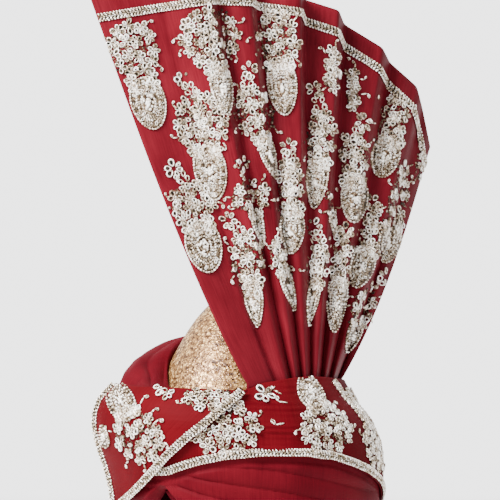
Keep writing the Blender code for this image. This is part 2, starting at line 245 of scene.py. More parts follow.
def cloth_piece(name, grid, thickness, material, marks=None):
    """A sheet whose face is the grid, with its thickness behind it."""
    faces = quads(*grid.shape[:2])
    piece = new_piece(name, grid.reshape(-1, 3), [faces], material, lengths(grid), marks)
    runs = [np.linalg.norm(np.diff(grid, axis=axis), axis=2).sum(axis=axis) for axis in (1, 0)]
    print(f"{name}: rows {runs[0].min():.0f} to {runs[0].max():.0f} mm, columns {runs[1].min():.0f} to {runs[1].max():.0f} mm")
    if np.allclose(grid[:, 0], grid[:, -1], atol=0.01):
        close_seam(piece)
    thicken(piece, thickness)
    return piece


# %% [markdown]
# Satin shows the long threads of its weave as a soft sheen that runs along the cloth. Both the
# plain and the embroidered cloth need the same threads, so they go into one node group, with the
# slubs, the fine weave and a slow change of tone as its outputs.

# %% Node helpers and the group of satin threads
def new_group(name, inputs, outputs):
    """An empty shader group with these sockets, and its input and output nodes."""
    tree = bpy.data.node_groups.new(name, "ShaderNodeTree")
    for label, value in inputs.items():
        tree.interface.new_socket(label, in_out="INPUT", socket_type="NodeSocketFloat").default_value = value
    for label, kind in outputs.items():
        tree.interface.new_socket(label, in_out="OUTPUT", socket_type=kind)
    return tree, tree.nodes.new("NodeGroupInput"), tree.nodes.new("NodeGroupOutput")


def node(tree, kind, settings=None, **inputs):
    """A node with its settings and its inputs, each a value or another node's socket."""
    made = tree.nodes.new(kind)
    for key, value in (settings or {}).items():
        setattr(made, key, value)
    for key, value in inputs.items():
        name = key.replace("_", " ").strip()
        socket = made.inputs[int(name[5:])] if name.startswith("input") else made.inputs[name]
        if isinstance(value, bpy.types.NodeSocket):
            tree.links.new(value, socket)
        else:
            socket.default_value = value
    return made


def ramp(tree, value, stops):
    """A colour ramp through stops of (place, colour)."""
    made = node(tree, "ShaderNodeValToRGB", Fac=value)
    band = made.color_ramp
    while len(band.elements) < len(stops):
        band.elements.new(0.5)
    for element, (at, colour) in zip(band.elements, stops):
        element.position = at
        element.color = (*colour, 1)
    return made.outputs["Color"]


def math_node(tree, operation, first, second=0.0):
    return node(tree, "ShaderNodeMath", {"operation": operation}, input0=first, input1=second).outputs[0]


def satin_threads():
    """Slubs are noise drawn out along the warp, the weave is two crossed waves, tone is slow noise."""
    outputs = {"Slubs": "NodeSocketFloat", "Weave": "NodeSocketFloat", "Tone": "NodeSocketFloat"}
    tree, given, made = new_group("satin threads", {"Threads per metre": 2600.0}, outputs)
    where = node(tree, "ShaderNodeTexCoord").outputs["UV"]
    drawn = node(tree, "ShaderNodeMapping", Vector=where, Scale=(900, 45, 1)).outputs["Vector"]
    slubs = node(tree, "ShaderNodeTexNoise", Vector=drawn, Scale=1.0, Detail=4.0).outputs["Fac"]
    split = node(tree, "ShaderNodeSeparateXYZ", Vector=where)
    waves = []
    for axis, share in (("X", 1.0), ("Y", 0.5)):
        turns = math_node(tree, "MULTIPLY", split.outputs[axis], given.outputs[0])
        turns = math_node(tree, "MULTIPLY", turns, share * 6.283)
        waves.append(math_node(tree, "SINE", turns))
    weave = math_node(tree, "ADD", waves[0], waves[1])
    slow = node(tree, "ShaderNodeTexNoise", Vector=where, Scale=22.0, Detail=3.0).outputs["Fac"]
    tree.links.new(slubs, made.inputs["Slubs"])
    tree.links.new(weave, made.inputs["Weave"])
    tree.links.new(slow, made.inputs["Tone"])
    return tree


THREADS = satin_threads()
print("group:", THREADS.name)

# %% [markdown]
# The satin is a deep crimson that turns pink where it catches the light and nearly black in the
# pleats. One function makes both cloths: the plain winding is a little darker and purpler than the
# embroidered end. The bump is faint, because satin is smooth and only its creases show.

# %% Satin materials
def new_material(name):
    material = bpy.data.materials.new(name)
    material.use_nodes = True
    return material, material.node_tree, material.node_tree.nodes["Principled BSDF"]


def satin(name, dark, middle, light, roughness, crease_scale):
    """Crimson from slow tone and slubs, with fine creases as bump."""
    material, tree, shader = new_material(name)
    threads = node(tree, "ShaderNodeGroup", {"node_tree": THREADS})
    mixed = math_node(tree, "MULTIPLY", threads.outputs["Slubs"], 0.45)
    mixed = math_node(tree, "ADD", mixed, math_node(tree, "MULTIPLY", threads.outputs["Tone"], 0.55))
    colour = ramp(tree, mixed, [(0.3, dark), (0.5, middle), (0.72, light)])
    tree.links.new(colour, shader.inputs["Base Color"])
    rough = node(tree, "ShaderNodeMapRange", Value=threads.outputs["Slubs"])
    rough.inputs["To Min"].default_value = roughness - 0.06
    rough.inputs["To Max"].default_value = roughness + 0.08
    tree.links.new(rough.outputs["Result"], shader.inputs["Roughness"])
    where = node(tree, "ShaderNodeTexCoord").outputs["UV"]
    drawn = node(tree, "ShaderNodeMapping", Vector=where, Scale=crease_scale).outputs["Vector"]
    creases = node(tree, "ShaderNodeTexNoise", Vector=drawn, Scale=1.0, Detail=3.0, Distortion=0.6)
    height = math_node(tree, "MULTIPLY", threads.outputs["Weave"], 0.006)
    height = math_node(tree, "ADD", height, math_node(tree, "MULTIPLY", threads.outputs["Slubs"], 0.05))
    height = math_node(tree, "ADD", height, math_node(tree, "MULTIPLY", creases.outputs["Fac"], 1.1))
    bump = node(tree, "ShaderNodeBump", Strength=0.55, Distance=0.001, Height=height)
    tree.links.new(bump.outputs["Normal"], shader.inputs["Normal"])
    shader.inputs["Specular IOR Level"].default_value = 0.06
    shader.inputs["Specular Tint"].default_value = (1.0, 0.45, 0.5, 1)
    shader.inputs["Sheen Weight"].default_value = 0.03
    shader.inputs["Sheen Roughness"].default_value = 0.35
    shader.inputs["Sheen Tint"].default_value = (1.0, 0.12, 0.2, 1)
    shader.inputs["Anisotropic"].default_value = 0.35
    return material


FAN_SATIN = satin("fan satin", (0.044, 0.0018, 0.0038), (0.070, 0.0036, 0.0068), (0.098, 0.0060, 0.0106), 0.44, (60, 7, 1))
LAP_SATIN = satin("lap satin", (0.038, 0.0011, 0.0022), (0.053, 0.0017, 0.0032), (0.068, 0.0025, 0.0045), 0.50, (12, 80, 1))
WOUND_SATIN = satin("wound satin", (0.036, 0.0014, 0.0032), (0.057, 0.0025, 0.0052), (0.074, 0.0038, 0.0070), 0.50, (8, 40, 1))
for lapped in (LAP_SATIN, WOUND_SATIN):
    lapped.node_tree.nodes["Principled BSDF"].inputs["Specular IOR Level"].default_value = 0.02
print("satins:", FAN_SATIN.name, LAP_SATIN.name, WOUND_SATIN.name)

# %% [markdown]
# The silver work is zari: flat metal wrapped round a thread, bright on top and brown where it is
# tarnished or in shade. Each stitch carries a random number, its tint, and one ramp turns it into
# white silver, warm grey, pale green or old gold, so no two neighbours are quite alike.

# %% Metal thread materials
def twisted_thread():
    """Grain across a wrapped thread is fine noise, and its tarnish noise a stitch or two wide."""
    outputs = {"Grain": "NodeSocketFloat", "Tarnish": "NodeSocketFloat"}
    tree, given, made = new_group("twisted thread", {"Grains per metre": 2400.0}, outputs)
    where = node(tree, "ShaderNodeTexCoord").outputs["Object"]
    grain = node(tree, "ShaderNodeTexNoise", Vector=where, Scale=given.outputs[0], Detail=1.0)
    tarnish = node(tree, "ShaderNodeTexNoise", Vector=where, Scale=620.0, Detail=3.0, Roughness=0.7)
    tree.links.new(grain.outputs["Fac"], made.inputs["Grain"])
    tree.links.new(tarnish.outputs["Fac"], made.inputs["Tarnish"])
    return tree


TWIST = twisted_thread()


def metal_thread(name, stops, metallic, roughness, tarnish_share):
    """Colour by the stitch's tint and the tarnish, with the thread's grain as bump."""
    material, tree, shader = new_material(name)
    twist = node(tree, "ShaderNodeGroup", {"node_tree": TWIST})
    tint = node(tree, "ShaderNodeAttribute", {"attribute_name": "tint"}).outputs["Fac"]
    slow = math_node(tree, "MULTIPLY", math_node(tree, "SUBTRACT", twist.outputs["Tarnish"], 0.5), tarnish_share)
    colour = ramp(tree, math_node(tree, "ADD", tint, slow), stops)
    tree.links.new(colour, shader.inputs["Base Color"])
    rough = node(tree, "ShaderNodeMapRange", Value=twist.outputs["Grain"])
    rough.inputs["To Min"].default_value = roughness - 0.08
    rough.inputs["To Max"].default_value = roughness + 0.12
    tree.links.new(rough.outputs["Result"], shader.inputs["Roughness"])
    bump = node(tree, "ShaderNodeBump", Strength=0.9, Distance=0.0004, Height=twist.outputs["Grain"])
    tree.links.new(bump.outputs["Normal"], shader.inputs["Normal"])
    shader.inputs["Metallic"].default_value = metallic
    return material


SILVER = [(0.0, (0.012, 0.005, 0.003)), (0.25, (0.055, 0.027, 0.013)), (0.45, (0.17, 0.108, 0.058)),
          (0.6, (0.32, 0.265, 0.18)), (0.75, (0.62, 0.47, 0.35)), (0.9, (0.94, 0.87, 0.76)), (1.0, (1.0, 0.97, 0.92))]
HEARTS = [(0.0, (0.006, 0.004, 0.003)), (0.3, (0.03, 0.02, 0.012)), (0.5, (0.09, 0.066, 0.042)),
          (0.75, (0.24, 0.21, 0.155)), (1.0, (0.6, 0.50, 0.42))]
CORD_SILVER = metal_thread("silver cord", SILVER, 0.75, 0.30, 2.6)
HEART_SILVER = metal_thread("petal hearts", HEARTS, 0.8, 0.30, 2.0)
BRAID_SILVER = metal_thread("braid silver", SILVER, 0.8, 0.30, 1.2)

# %% [markdown]
# The cap is gold tinsel cloth over a stiff shell. Close up it is a mat of tiny flakes that each
# tilt their own way, so the bump is made from cells of random height and the colour from the same
# cells. Its shape is a turned profile that is drawn out fore and aft.

# %% Gold tinsel cap
def gold_tinsel():
    material, tree, shader = new_material("gold tinsel")
    where = node(tree, "ShaderNodeTexCoord").outputs["Object"]
    flakes = node(tree, "ShaderNodeTexVoronoi", Vector=where, Scale=620.0)
    big = node(tree, "ShaderNodeTexVoronoi", Vector=where, Scale=260.0)
    split = node(tree, "ShaderNodeSeparateColor", Color=flakes.outputs["Color"])
    split_big = node(tree, "ShaderNodeSeparateColor", Color=big.outputs["Color"])
    value = math_node(tree, "MULTIPLY", split.outputs[0], 0.8)
    value = math_node(tree, "ADD", value, math_node(tree, "MULTIPLY", split_big.outputs[0], 0.2))
    colour = ramp(tree, value, [(0.0, (0.02, 0.006, 0.002)), (0.25, (0.085, 0.034, 0.010)),
                                (0.5, (0.19, 0.092, 0.030)), (0.75, (0.34, 0.180, 0.062)), (0.95, (0.70, 0.46, 0.20))])
    tree.links.new(colour, shader.inputs["Base Color"])
    rough = node(tree, "ShaderNodeMapRange", Value=split.outputs[1])
    rough.inputs["To Min"].default_value = 0.22
    rough.inputs["To Max"].default_value = 0.5
    tree.links.new(rough.outputs["Result"], shader.inputs["Roughness"])
    tilt = math_node(tree, "MULTIPLY", split.outputs[2], flakes.outputs["Distance"])
    bump = node(tree, "ShaderNodeBump", Strength=0.9, Distance=0.0008, Height=tilt)
    tree.links.new(bump.outputs["Normal"], shader.inputs["Normal"])
    shader.inputs["Metallic"].default_value = 0.45
    return material


TINSEL = gold_tinsel()
CAP_ROWS, CAP_COLUMNS = 48, 120


def cap_grid(clear):
    """The cap's radius by height, eased at the table's corners, carried round and drawn out along y."""
    rise = np.linspace(0, 1, CAP_ROWS) ** 0.7
    height = CAP["height"][0] + (CAP["height"][-1] - CAP["height"][0]) * rise
    radius = sum(np.interp(height + s, CAP["height"], CAP["radius"]) for s in (-3, -1.5, 0, 1.5, 3)) / 5
    radius = np.where(rise > 0.97, radius * (1 - rise) / 0.03, radius) + clear * (rise < 1)
    turn = np.linspace(0, 2 * math.pi, CAP_COLUMNS, endpoint=False) + FACE_TURN
    x = radius[:, None] * np.sin(turn)
    y = -radius[:, None] * CAP_LENGTHEN * np.cos(turn)
    return np.stack([x, y, np.broadcast_to(height[:, None], x.shape)], axis=-1)


def make_cap():
    """The outside, the inside two millimetres in, and a closed skirt, as one ring of rows."""
    outside, inside = cap_grid(0.0), cap_grid(-CAP_WALL)
    inside[-5:, :, 2] -= CAP_WALL * np.linspace(0, 1, 5)[:, None]
    rows = np.concatenate([outside, inside[::-1]])
    faces = quads(len(rows), CAP_COLUMNS, True, True)
    cap = new_piece("kulla", rows.reshape(-1, 3), [faces], TINSEL)
    close_seam(cap)
    return cap


kulla = make_cap()
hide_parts("kulla_cap")

# %% [markdown]
# The winding is several turns of satin on top of each other, so it is one thick roll. Below the
# laps its folds fan out from an inverted V over the brow, and at the back it rises in a mound round
# the cap. Each section of the roll is a row of the grid: up the cap, over, down and under.

# %% Wound satin
MOUND = ((1.0, 0.0), (0.93, 1.0), (0.78, 0.93), (0.58, 0.84), (0.38, 0.72), (0.2, 0.52), (0.08, 0.30), (0.0, 0.0))
WOUND_COLUMNS = 280


def brow_folds(angle, height):
    """Creases that start together at the V and spread: a rounded fold between two sharp creases."""
    below = by_angle(CREASE, "height", angle) - height
    pitch = 10.5 + 5.5 * ease(-38, 20, angle) - 3 * ease(60, 120, angle) + 2.5 * ease(-60, -120, angle)
    wander = 1.0 * np.sin(np.radians(angle * 2 + 40)) + 0.5 * np.sin(np.radians(angle * 5))
    count = (below + wander) / pitch
    shown = ease(-3, -8, height - by_angle(LAP_UNDER, "low", angle))
    deep = 2.6 * ease(100, 60, np.abs(angle + 5)) + 1.6 * ease(60, 100, np.abs(angle + 5))
    return shown * deep * np.abs(np.sin(math.pi * count)) ** 0.45


def mound_rows(angle, shoulder, crest, top, brow, edge, proud):
    """Rings from the cap out to the shoulder, raised by the mound's profile and its slanting folds."""
    inward = np.linspace(1, 0, 42)[1:-1, None]
    out_of, rise = np.array(MOUND)[::-1, 0], np.array(MOUND)[::-1, 1]
    height = np.interp(inward, out_of, rise)
    height = np.where(inward > 0.93, 1.0, height)
    ring = edge + (top - edge) * inward[..., None]
    phase = 1.6 * inward + angle / 90
    folds = 2.6 * (np.abs(np.sin(math.pi * phase * 1.5)) ** 0.6 - 0.6) * proud * ease(0.0, 0.25, inward) * ease(1.0, 0.85, inward)
    ring[..., 2] = brow + (crest - brow) * height + folds
    return ring


def make_winding():
    angle = np.linspace(-180, 180, WOUND_COLUMNS + 1)
    soften = lambda column: np.mean([by_angle(WINDING, column, angle + s) for s in (-4, -2, 0, 2, 4)], axis=0)
    rim, shoulder, crest, contact = (soften(c) for c in ("rim", "shoulder", "crest", "contact"))
    radius = lambda h, clear: np.where(h < 40, HOLLOW_HALF_X, np.interp(h, CAP["height"], CAP["radius"]) + clear)
    turn = np.radians(angle) + FACE_TURN
    wall = lambda h, clear: np.stack([radius(h, clear) * np.sin(turn), -radius(h, clear) * CAP_LENGTHEN * np.cos(turn), h + 0 * angle], -1)
    rows = [wall(rim + 7 + (40 - rim - 7) * share, GAP) for share in (0.0, 0.5, 0.97)]
    rows += [wall(np.minimum(h, contact - 0.2 * (30 - i)), GAP) for i, h in enumerate(np.linspace(41, 150, 30))]
    top = wall(contact, GAP)
    proud = ease(shoulder + 4, shoulder + 16, crest)
    brow = shoulder + 5 * proud
    swell = 8.5 * ease(-66, -82, angle) * ease(-175, -135, angle)
    edge = wrap_point(angle, under_face(angle, brow, -LAP_STEP) + swell, brow)
    rows += [top] + list(mound_rows(angle, shoulder, crest, top, brow, edge, proud)) + [edge]
    for share in np.linspace(0, 1, 14)[1:]:
        height = shoulder + (58 - shoulder) * share
        rows.append(wrap_point(angle, under_face(angle, height, -LAP_STEP), height))
    for share in np.linspace(0, 1, 84)[1:]:
        height = 58 + (rim + 4 - 58) * share
        rows.append(wrap_point(angle, under_face(angle, height, -LAP_STEP) + brow_folds(angle, height), height))
    for share in np.linspace(0, 1, 6)[1:]:
        inward, drop = 11 * (1 - math.cos(share * math.pi / 2)), 4 - 4 * math.sin(share * math.pi / 2)
        rows.append(wrap_point(angle, under_face(angle, rim + 4, -LAP_STEP) - inward, rim + drop))
    rows.append(wall(rim + 1.5, GAP) * (1.05, 1.05, 1))
    grid = np.array(rows)[::-1]
    run = np.concatenate([[0], np.cumsum(np.linalg.norm(np.diff(grid[:, 60], axis=0), axis=1))])
    uv = np.stack(np.meshgrid(np.radians(angle) * 0.112, run / 1000), axis=-1).reshape(-1, 2)
    print("the winding's two sides of the back seam lie", round(float(np.abs(grid[:, 0] - grid[:, -1]).max()), 4), "mm apart")
    faces = quads(len(rows), WOUND_COLUMNS + 1, True, False)
    winding = new_piece("wound_satin", grid.reshape(-1, 3), [faces], WOUND_SATIN, uv)
    close_seam(winding)
    return winding


winding = make_winding()
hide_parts("wound_cloth")

# %% [markdown]
# The embroidered end of the cloth goes once round the head below the fan, and a second stretch
# crosses it as a flap. Both are thin sheets whose faces follow the solids, with the fine creases
# that starched satin gets when it is pulled tight round a curve.

# %% The two laps
LAP_ROWS, LAP_COLUMNS = 56, 280


def lap_creases(angle, height):
    """Fine creases along the lap, close together where the flap ends, that die out to both sides."""
    near = np.exp(-(((angle - 14) / 24) ** 2)) * ease(50, 60, height) * ease(116, 104, height)
    lines = np.sin(2 * math.pi * (height + 1.5 * np.sin(np.radians(angle * 4))) / 4.6)
    lines = lines * (0.55 + 0.45 * np.sin(height / 2.9 + angle / 14))
    return 0.7 * near * lines + 0.4 * np.sin(height / 3.1 + np.radians(angle * 6)) * np.sin(np.radians(angle * 3 + 20))


def lap_point(angle, height, out=0.0):
    return wrap_point(angle, under_face(angle, height, out) + lap_creases(angle, height), height)


def lap_grid():
    angle = np.linspace(-180, 180, LAP_COLUMNS + 1)
    low, high = by_angle(LAP_UNDER, "low", angle), by_angle(LAP_UNDER, "high", angle)
    share = np.linspace(0, 1, LAP_ROWS)[:, None]
    return lap_point(angle + 0 * share, low + (high - low) * share)


def flap_point(share, side, out=0.0):
    """Share runs up from the tip, side from the left border to the slant; both borders are tables."""
    left_height = np.interp(share, LAP_OVER["share"], LAP_OVER["left_height"])
    left_angle = np.interp(share, LAP_OVER["share"], LAP_OVER["left_angle"])
    slant_height = np.interp(share, LAP_OVER["share"], LAP_OVER["slant_height"])
    slant_across = np.interp(share, LAP_OVER["share"], LAP_OVER["slant_across"])
    slant_angle = angle_seen(slant_across, slant_height)
    angle = left_angle + (slant_angle - left_angle) * side
    height = left_height + (slant_height - left_height) * side
    lift = FLAP_LIFT * ease(-55, -80, angle)
    return wrap_point(angle, lap_face_out(angle, height, out) + lift, height)


def flap_grid():
    share, side = np.meshgrid(np.linspace(0, 1, 80), np.linspace(0, 1, 64), indexing="ij")
    ripple = 0.35 * np.sin(5 * share + 9 * side) * np.sin(math.pi * side) * np.sin(math.pi * share)
    return flap_point(share, side, ripple)


LAP_GRID, FLAP_GRID = lap_grid(), flap_grid()
print("the lap's two sides of the back seam lie", round(float(np.abs(LAP_GRID[:, 0] - LAP_GRID[:, -1]).max()), 4), "mm apart")
lap = cloth_piece("lap_round", LAP_GRID, 1.4, LAP_SATIN)
flap = cloth_piece("lap_crossing", FLAP_GRID, 1.4, LAP_SATIN)
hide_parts("band_under")
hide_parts("band_over")

# %% [markdown]
# The fan is the starched end of the same cloth, laid in knife pleats and tucked behind the lap.
# Fifteen fold lines run from the neck to the upper edge. Between the table's lines the surface is a
# weighted mean, narrow at the top where the folds are sharp, wide at the neck where they are round.

# %% Pleated fan
FAN_LINES = len(PLEATS["ridge"])
FAN_COLUMNS, FAN_ROWS = 14 * 16 + 1, 100


def mirrored(column):
    """A table column carried on past both ends by turning it about its end values."""
    values = PLEATS[column]
    before = 2 * values[0] - values[2:0:-1]
    after = 2 * values[-1] - values[-2:-4:-1]
    return np.concatenate([before, values, after])


def softened(column, at, soft):
    """The column at fractional fold lines, as a bell-weighted mean over a width of soft lines."""
    places = np.arange(-2, FAN_LINES + 2)
    values = mirrored(column)
    offsets = np.linspace(-2, 2, 9)
    weights = np.exp(-(offsets**2) / 2)
    return sum(w * np.interp(at + o * soft, places, values) for o, w in zip(offsets, weights)) / weights.sum()


def fan_softness(at, rise):
    """From a third of a pleat at the neck to a crisp fold at the edge, softer at the first wide fold."""
    base = 0.30 - 0.22 * ease(0.0, 0.55, rise)
    return base + 0.12 * np.exp(-(((at - 1.0) / 0.6) ** 2)) + 0.10 * np.exp(-(((at - 2.0) / 0.4) ** 2))


def fan_tubes(at, rise):
    """How far a pleat falls behind its ridge: one less a root of the cosine, so ridges are round tubes."""
    tube = np.where(at < 1, ease(1.0, 0.86, at), np.abs(np.cos(math.pi * at / 2)) ** 0.55)
    deep = 6.0 * ease(0.62, 0.12, rise) + 2.0 * ease(0.3, 0.7, rise)
    return deep * (1 - tube)


def fan_surface(at, rise):
    """A point of the fan: straight from neck to edge with a sideways bow, leaning back towards the edge."""
    at, rise = np.broadcast_arrays(np.asarray(at, float), np.asarray(rise, float))
    soft = fan_softness(at, rise)
    line = {name: softened(name, at, soft) for name in PLEATS}
    bow_at = np.interp(at, np.arange(FAN_LINES), PLEATS["bow_at"])
    angle = angle_seen(line["neck_across"], FAN_NECK)
    for _ in range(4):
        offset = lap_face(angle, FAN_NECK) - FAN_INSET - PLEAT_AT_NECK * (1 - line["ridge"])
        wide, lean, deep = oval(offset)
        angle = np.degrees(np.arcsin(np.clip(line["neck_across"] / wide, -1, 1)))
    turn = np.radians(angle)
    across, forward = wide * np.sin(turn), lean * np.sin(turn) + deep * np.cos(turn)
    bow = line["bow"] * np.sin(math.pi * np.clip(rise, 0, 1) ** (math.log(0.5) / np.log(bow_at)))
    bulge = PANEL_BULGE * np.sin(math.pi * (at % 1)) ** 2 * rise
    sway = 1.7 * np.sin(2 * math.pi * (0.9 * at + 0.5 * rise)) * np.sin(math.pi * rise * 1.3 + 0.4) * ease(0.1, 0.5, rise)
    wide_fold = 2.6 * np.exp(-(((at - 0.55) / 0.25) ** 2)) * ease(0.2, 0.8, rise)
    x = across + (line["top_across"] - across) * rise + bow
    ahead = forward + (line["top_forward"] - forward) * np.abs(rise) ** 1.1 + bulge + sway - wide_fold
    ahead = ahead - fan_tubes(at, rise)
    return place(x, ahead, FAN_NECK + (line["top_height"] - FAN_NECK) * rise)


def fan_grid():
    at = np.linspace(0, FAN_LINES - 1, FAN_COLUMNS)
    rise = np.linspace(0, 1, FAN_ROWS)[:, None]
    grid = fan_surface(at, rise)
    foot = np.repeat(grid[:1], 6, axis=0)
    foot[:, :, 2] = np.linspace(FAN_FOOT, FAN_NECK, 7)[:-1, None]
    return np.concatenate([foot, grid])


FAN_GRID = fan_grid()
fan = cloth_piece("turra_fan_satin", FAN_GRID, 1.0, FAN_SATIN)
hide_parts("turra_fan")

# %% [markdown]
# The embroidery is made of five kinds of stitch, each repeated many times: a petal, which is an
# oval loop of cord; a coil, a loop whose end turns in; a heart, the low pad inside a petal; a grain,
# one short wrapped stitch; and a stone.
# Each shape is a few dozen faces, and a whole motif is laid on the cloth as arrays of its stitches.

# %% Five kinds of stitch
def loop_shape(sides=10, around=4, thick=0.2, rounds=1.0, fall=0.0):
    """A small tube of cord carried round an oval with a pointed foot; with a fall it coils inwards."""
    closed = rounds == 1
    turn = math.pi + np.linspace(0, 2 * math.pi * rounds, sides, endpoint=not closed)[:, None]
    tube = np.linspace(0, 2 * math.pi, around, endpoint=False)[None, :] + math.pi / 4
    away = 1 - fall * np.linspace(0, 1, sides)[:, None]
    reach = away - thick + thick * np.cos(tube)
    narrow = 1 - 0.45 * (0.5 - 0.5 * np.cos(turn)) ** 2
    x = reach * np.sin(turn) * narrow
    y = 0.5 + 0.5 * reach * np.cos(turn)
    z = 0.5 + 0.5 * np.sin(tube) + 0 * turn
    sheets = [quads(sides, around, closed, True)]
    if not closed:
        ring = np.arange(around)
        sheets.append(np.stack([ring[::-1], ring + around * (sides - 1)]))
    return np.stack([x, y, z], -1).reshape(-1, 3), sheets


def pad_shape(sides=6, levels=((0.25, 1.0), (0.75, 0.72))):
    """A low dome of a few rings with a point above and below; y runs along the stitch."""
    turn = np.linspace(0, 2 * math.pi, sides, endpoint=False)
    rings = [np.stack([r * np.cos(turn), r * np.sin(turn), z + 0 * turn], -1) for z, r in levels]
    points = np.concatenate([[(0, 0, 0)], *rings, [(0, 0, 1)]])
    side = quads(len(levels), sides, False, True) + 1
    first, last = np.arange(sides) + 1, np.arange(sides) + 1 + sides * (len(levels) - 1)
    foot = np.stack([0 * first, np.roll(first, -1), first], -1)
    top = np.stack([last, np.roll(last, -1), 0 * last + len(points) - 1], -1)
    return points, [side, np.concatenate([foot, top])]


SHAPES = {
    "petals": loop_shape(),
    "coils": loop_shape(14, 4, 0.16, 1.55, 0.55),
    "hearts": pad_shape(5),
    "grains": pad_shape(5),
    "stones": pad_shape(8, ((0.3, 1.0), (0.85, 0.55))),
}
print({kind: sum(len(f) for f in faces) for kind, (points, faces) in SHAPES.items()}, "faces each")

# %% [markdown]
# A motif of the design has three parts: a small open flower on top, a round bunch of flowers, and a
# drop with rows of couched cord round a bright middle. They are laid out flat first, with x to the
# right and y up. Each stitch is a row: x, y, turn from upright, length, half width, height, tint.

# %% Motifs laid out flat
draw = np.random.default_rng(11)


def rows_of(kind, x, y, turn, long, wide, high, tint):
    columns = np.broadcast_arrays(*[np.atleast_1d(np.asarray(c, float)) for c in (x, y, turn, long, wide, high, tint)])
    return kind, np.stack(columns, -1)


def loops(x, y, way, long, wide, high):
    """Petals with a heart in each, or coils, by turns of chance; way is their lean in degrees."""
    x, y, way, long, wide, high = np.broadcast_arrays(*[np.atleast_1d(np.asarray(c, float)) for c in (x, y, way, long, wide, high)])
    tint, coiled = draw.uniform(0.5, 1.15, len(x)), draw.random(len(x)) < 0.12
    rows = np.stack([x, y, way, long, wide, high, tint], -1)
    turn = np.radians(way)
    hearts = rows_of("hearts", x + 0.54 * long * np.sin(turn), y + 0.54 * long * np.cos(turn), way,
                     long * 0.27, wide * 0.58, high * 0.5, draw.uniform(0.1, 0.8, len(x)))
    return [("petals", rows[~coiled]), ("coils", rows[coiled]), (hearts[0], hearts[1][~coiled])]


def flower(x, y, petals, reach, turn=0.0, open_middle=False):
    """Loops at equal steps round a middle, each with its foot near the middle."""
    at = turn + np.arange(petals) * 360 / petals + draw.uniform(-12, 12, petals)
    way = np.radians(at)
    foot = reach * (0.22 if open_middle else 0.12)
    long = (reach - foot) * draw.uniform(0.82, 1.15, petals)
    parts = loops(x + foot * np.sin(way), y + foot * np.cos(way), at, long,
                  long * draw.uniform(0.36, 0.46, petals), draw.uniform(1.3, 2.4, petals))
    if not open_middle:
        parts.append(rows_of("stones", x, y, 0, reach * 0.15, reach * 0.15, 2.0, draw.uniform(0.6, 1.0)))
    return parts


def curl(x, y, turn, long, bend):
    """A comma: a stem stitch with a small coil that turns aside at its end."""
    way = math.radians(turn)
    tip_x, tip_y = x + long * math.sin(way), y + long * math.cos(way)
    stem = rows_of("grains", (x + tip_x) / 2, (y + tip_y) / 2, turn, long * 0.6, 0.8, 1.2, draw.uniform(0.5, 0.9))
    return [stem, rows_of("coils", tip_x, tip_y, turn + bend, long * 0.9, long * 0.36, 1.5, draw.uniform(0.6, 1.0))]


def bunch(x, y, half_wide, half_high):
    """Rings of flowers within an oval, single loops in their gaps, curls on its rim, and dark low stitches below that
    are brown backing and also painted shade in the gaps between the flowers.
    """
    parts, reach, step = [], min(6.3, half_wide * 0.85), 10.6
    wide, high = max(half_wide - 5.2, 0.5), max(half_high - 5.2, 0.5)
    while True:
        round_way = math.pi * (1.5 * (wide + high) - math.sqrt(wide * high))
        count = max(1, round(round_way / step))
        at = (np.arange(count) + draw.uniform(0, 1) + draw.uniform(-0.1, 0.1, count)) * 2 * math.pi / count
        for turn in at:
            parts += flower(x + wide * math.sin(turn), y + high * math.cos(turn), int(draw.integers(5, 7)),
                            reach * draw.uniform(0.85, 1.08), draw.uniform(0, 60))
        mid = at + math.pi / count
        out_x, out_y = (wide - step / 2), (high - step / 2)
        if min(out_x, out_y) > 0:
            parts += loops(x + out_x * np.sin(mid), y + out_y * np.cos(mid), draw.uniform(0, 360, count),
                           draw.uniform(4.0, 5.4, count), draw.uniform(1.7, 2.2, count), draw.uniform(1.6, 2.4, count))
        if max(wide, high) < step - 1:
            break
        wide, high = max(wide - step, 0.5), max(high - step, 0.5)
    for turn in np.radians(np.arange(6) * 60 + draw.uniform(-22, 22, 6)):
        parts += curl(x + 0.95 * half_wide * math.sin(turn), y + 0.95 * half_high * math.cos(turn),
                      math.degrees(turn) + draw.uniform(-35, 35), draw.uniform(3.6, 5.4), draw.choice([-70, 70]))
    # Dark low grains under the flowers: partly the brown backing, partly painted shade in the gaps between the
    # flowers.
    shade_and_backing_count = int(half_wide * half_high / 2.5)
    turn, far = draw.uniform(0, 2 * math.pi, shade_and_backing_count), np.sqrt(draw.uniform(0, 0.72, shade_and_backing_count))
    parts.append(rows_of("grains", x + far * half_wide * np.sin(turn), y + far * half_high * np.cos(turn),
                         draw.uniform(0, 180, shade_and_backing_count), draw.uniform(1.2, 2.4, shade_and_backing_count), 0.75,
                         draw.uniform(0.3, 0.7, shade_and_backing_count), draw.uniform(0.0, 0.45, shade_and_backing_count)))
    return parts


def drop_outline(share, half_wide, half_high, turn):
    """An oval drawn in towards its lower end, the more the slimmer it is: sine across, cosine up."""
    up = np.cos(turn)
    taper = np.clip(0.62 - 0.75 * half_wide / half_high, 0.1, 0.42)
    return share * half_wide * np.sin(turn) * (1 - 0.4 * taper + taper * up), share * half_high * up


def cord_round(share, half_wide, half_high, pitch, wide, high, low_tint, high_tint, lean=0.0):
    """Grains at equal steps along the drop's outline, shrunk by a share."""
    fine = np.linspace(0, 2 * math.pi, 400)
    fx, fy = drop_outline(share, half_wide, half_high, fine)
    run = np.concatenate([[0], np.cumsum(np.hypot(np.diff(fx), np.diff(fy)))])
    count = max(6, round(run[-1] / pitch))
    turn = np.interp(np.arange(count) * run[-1] / count, run, fine)
    x, y = drop_outline(share, half_wide, half_high, turn)
    ax, ay = drop_outline(share, half_wide, half_high, turn + 0.03)
    way = np.degrees(np.arctan2(ax - x, ay - y)) + lean
    return rows_of("grains", x, y, way, pitch * 0.62, wide, high, draw.uniform(low_tint, high_tint, count))


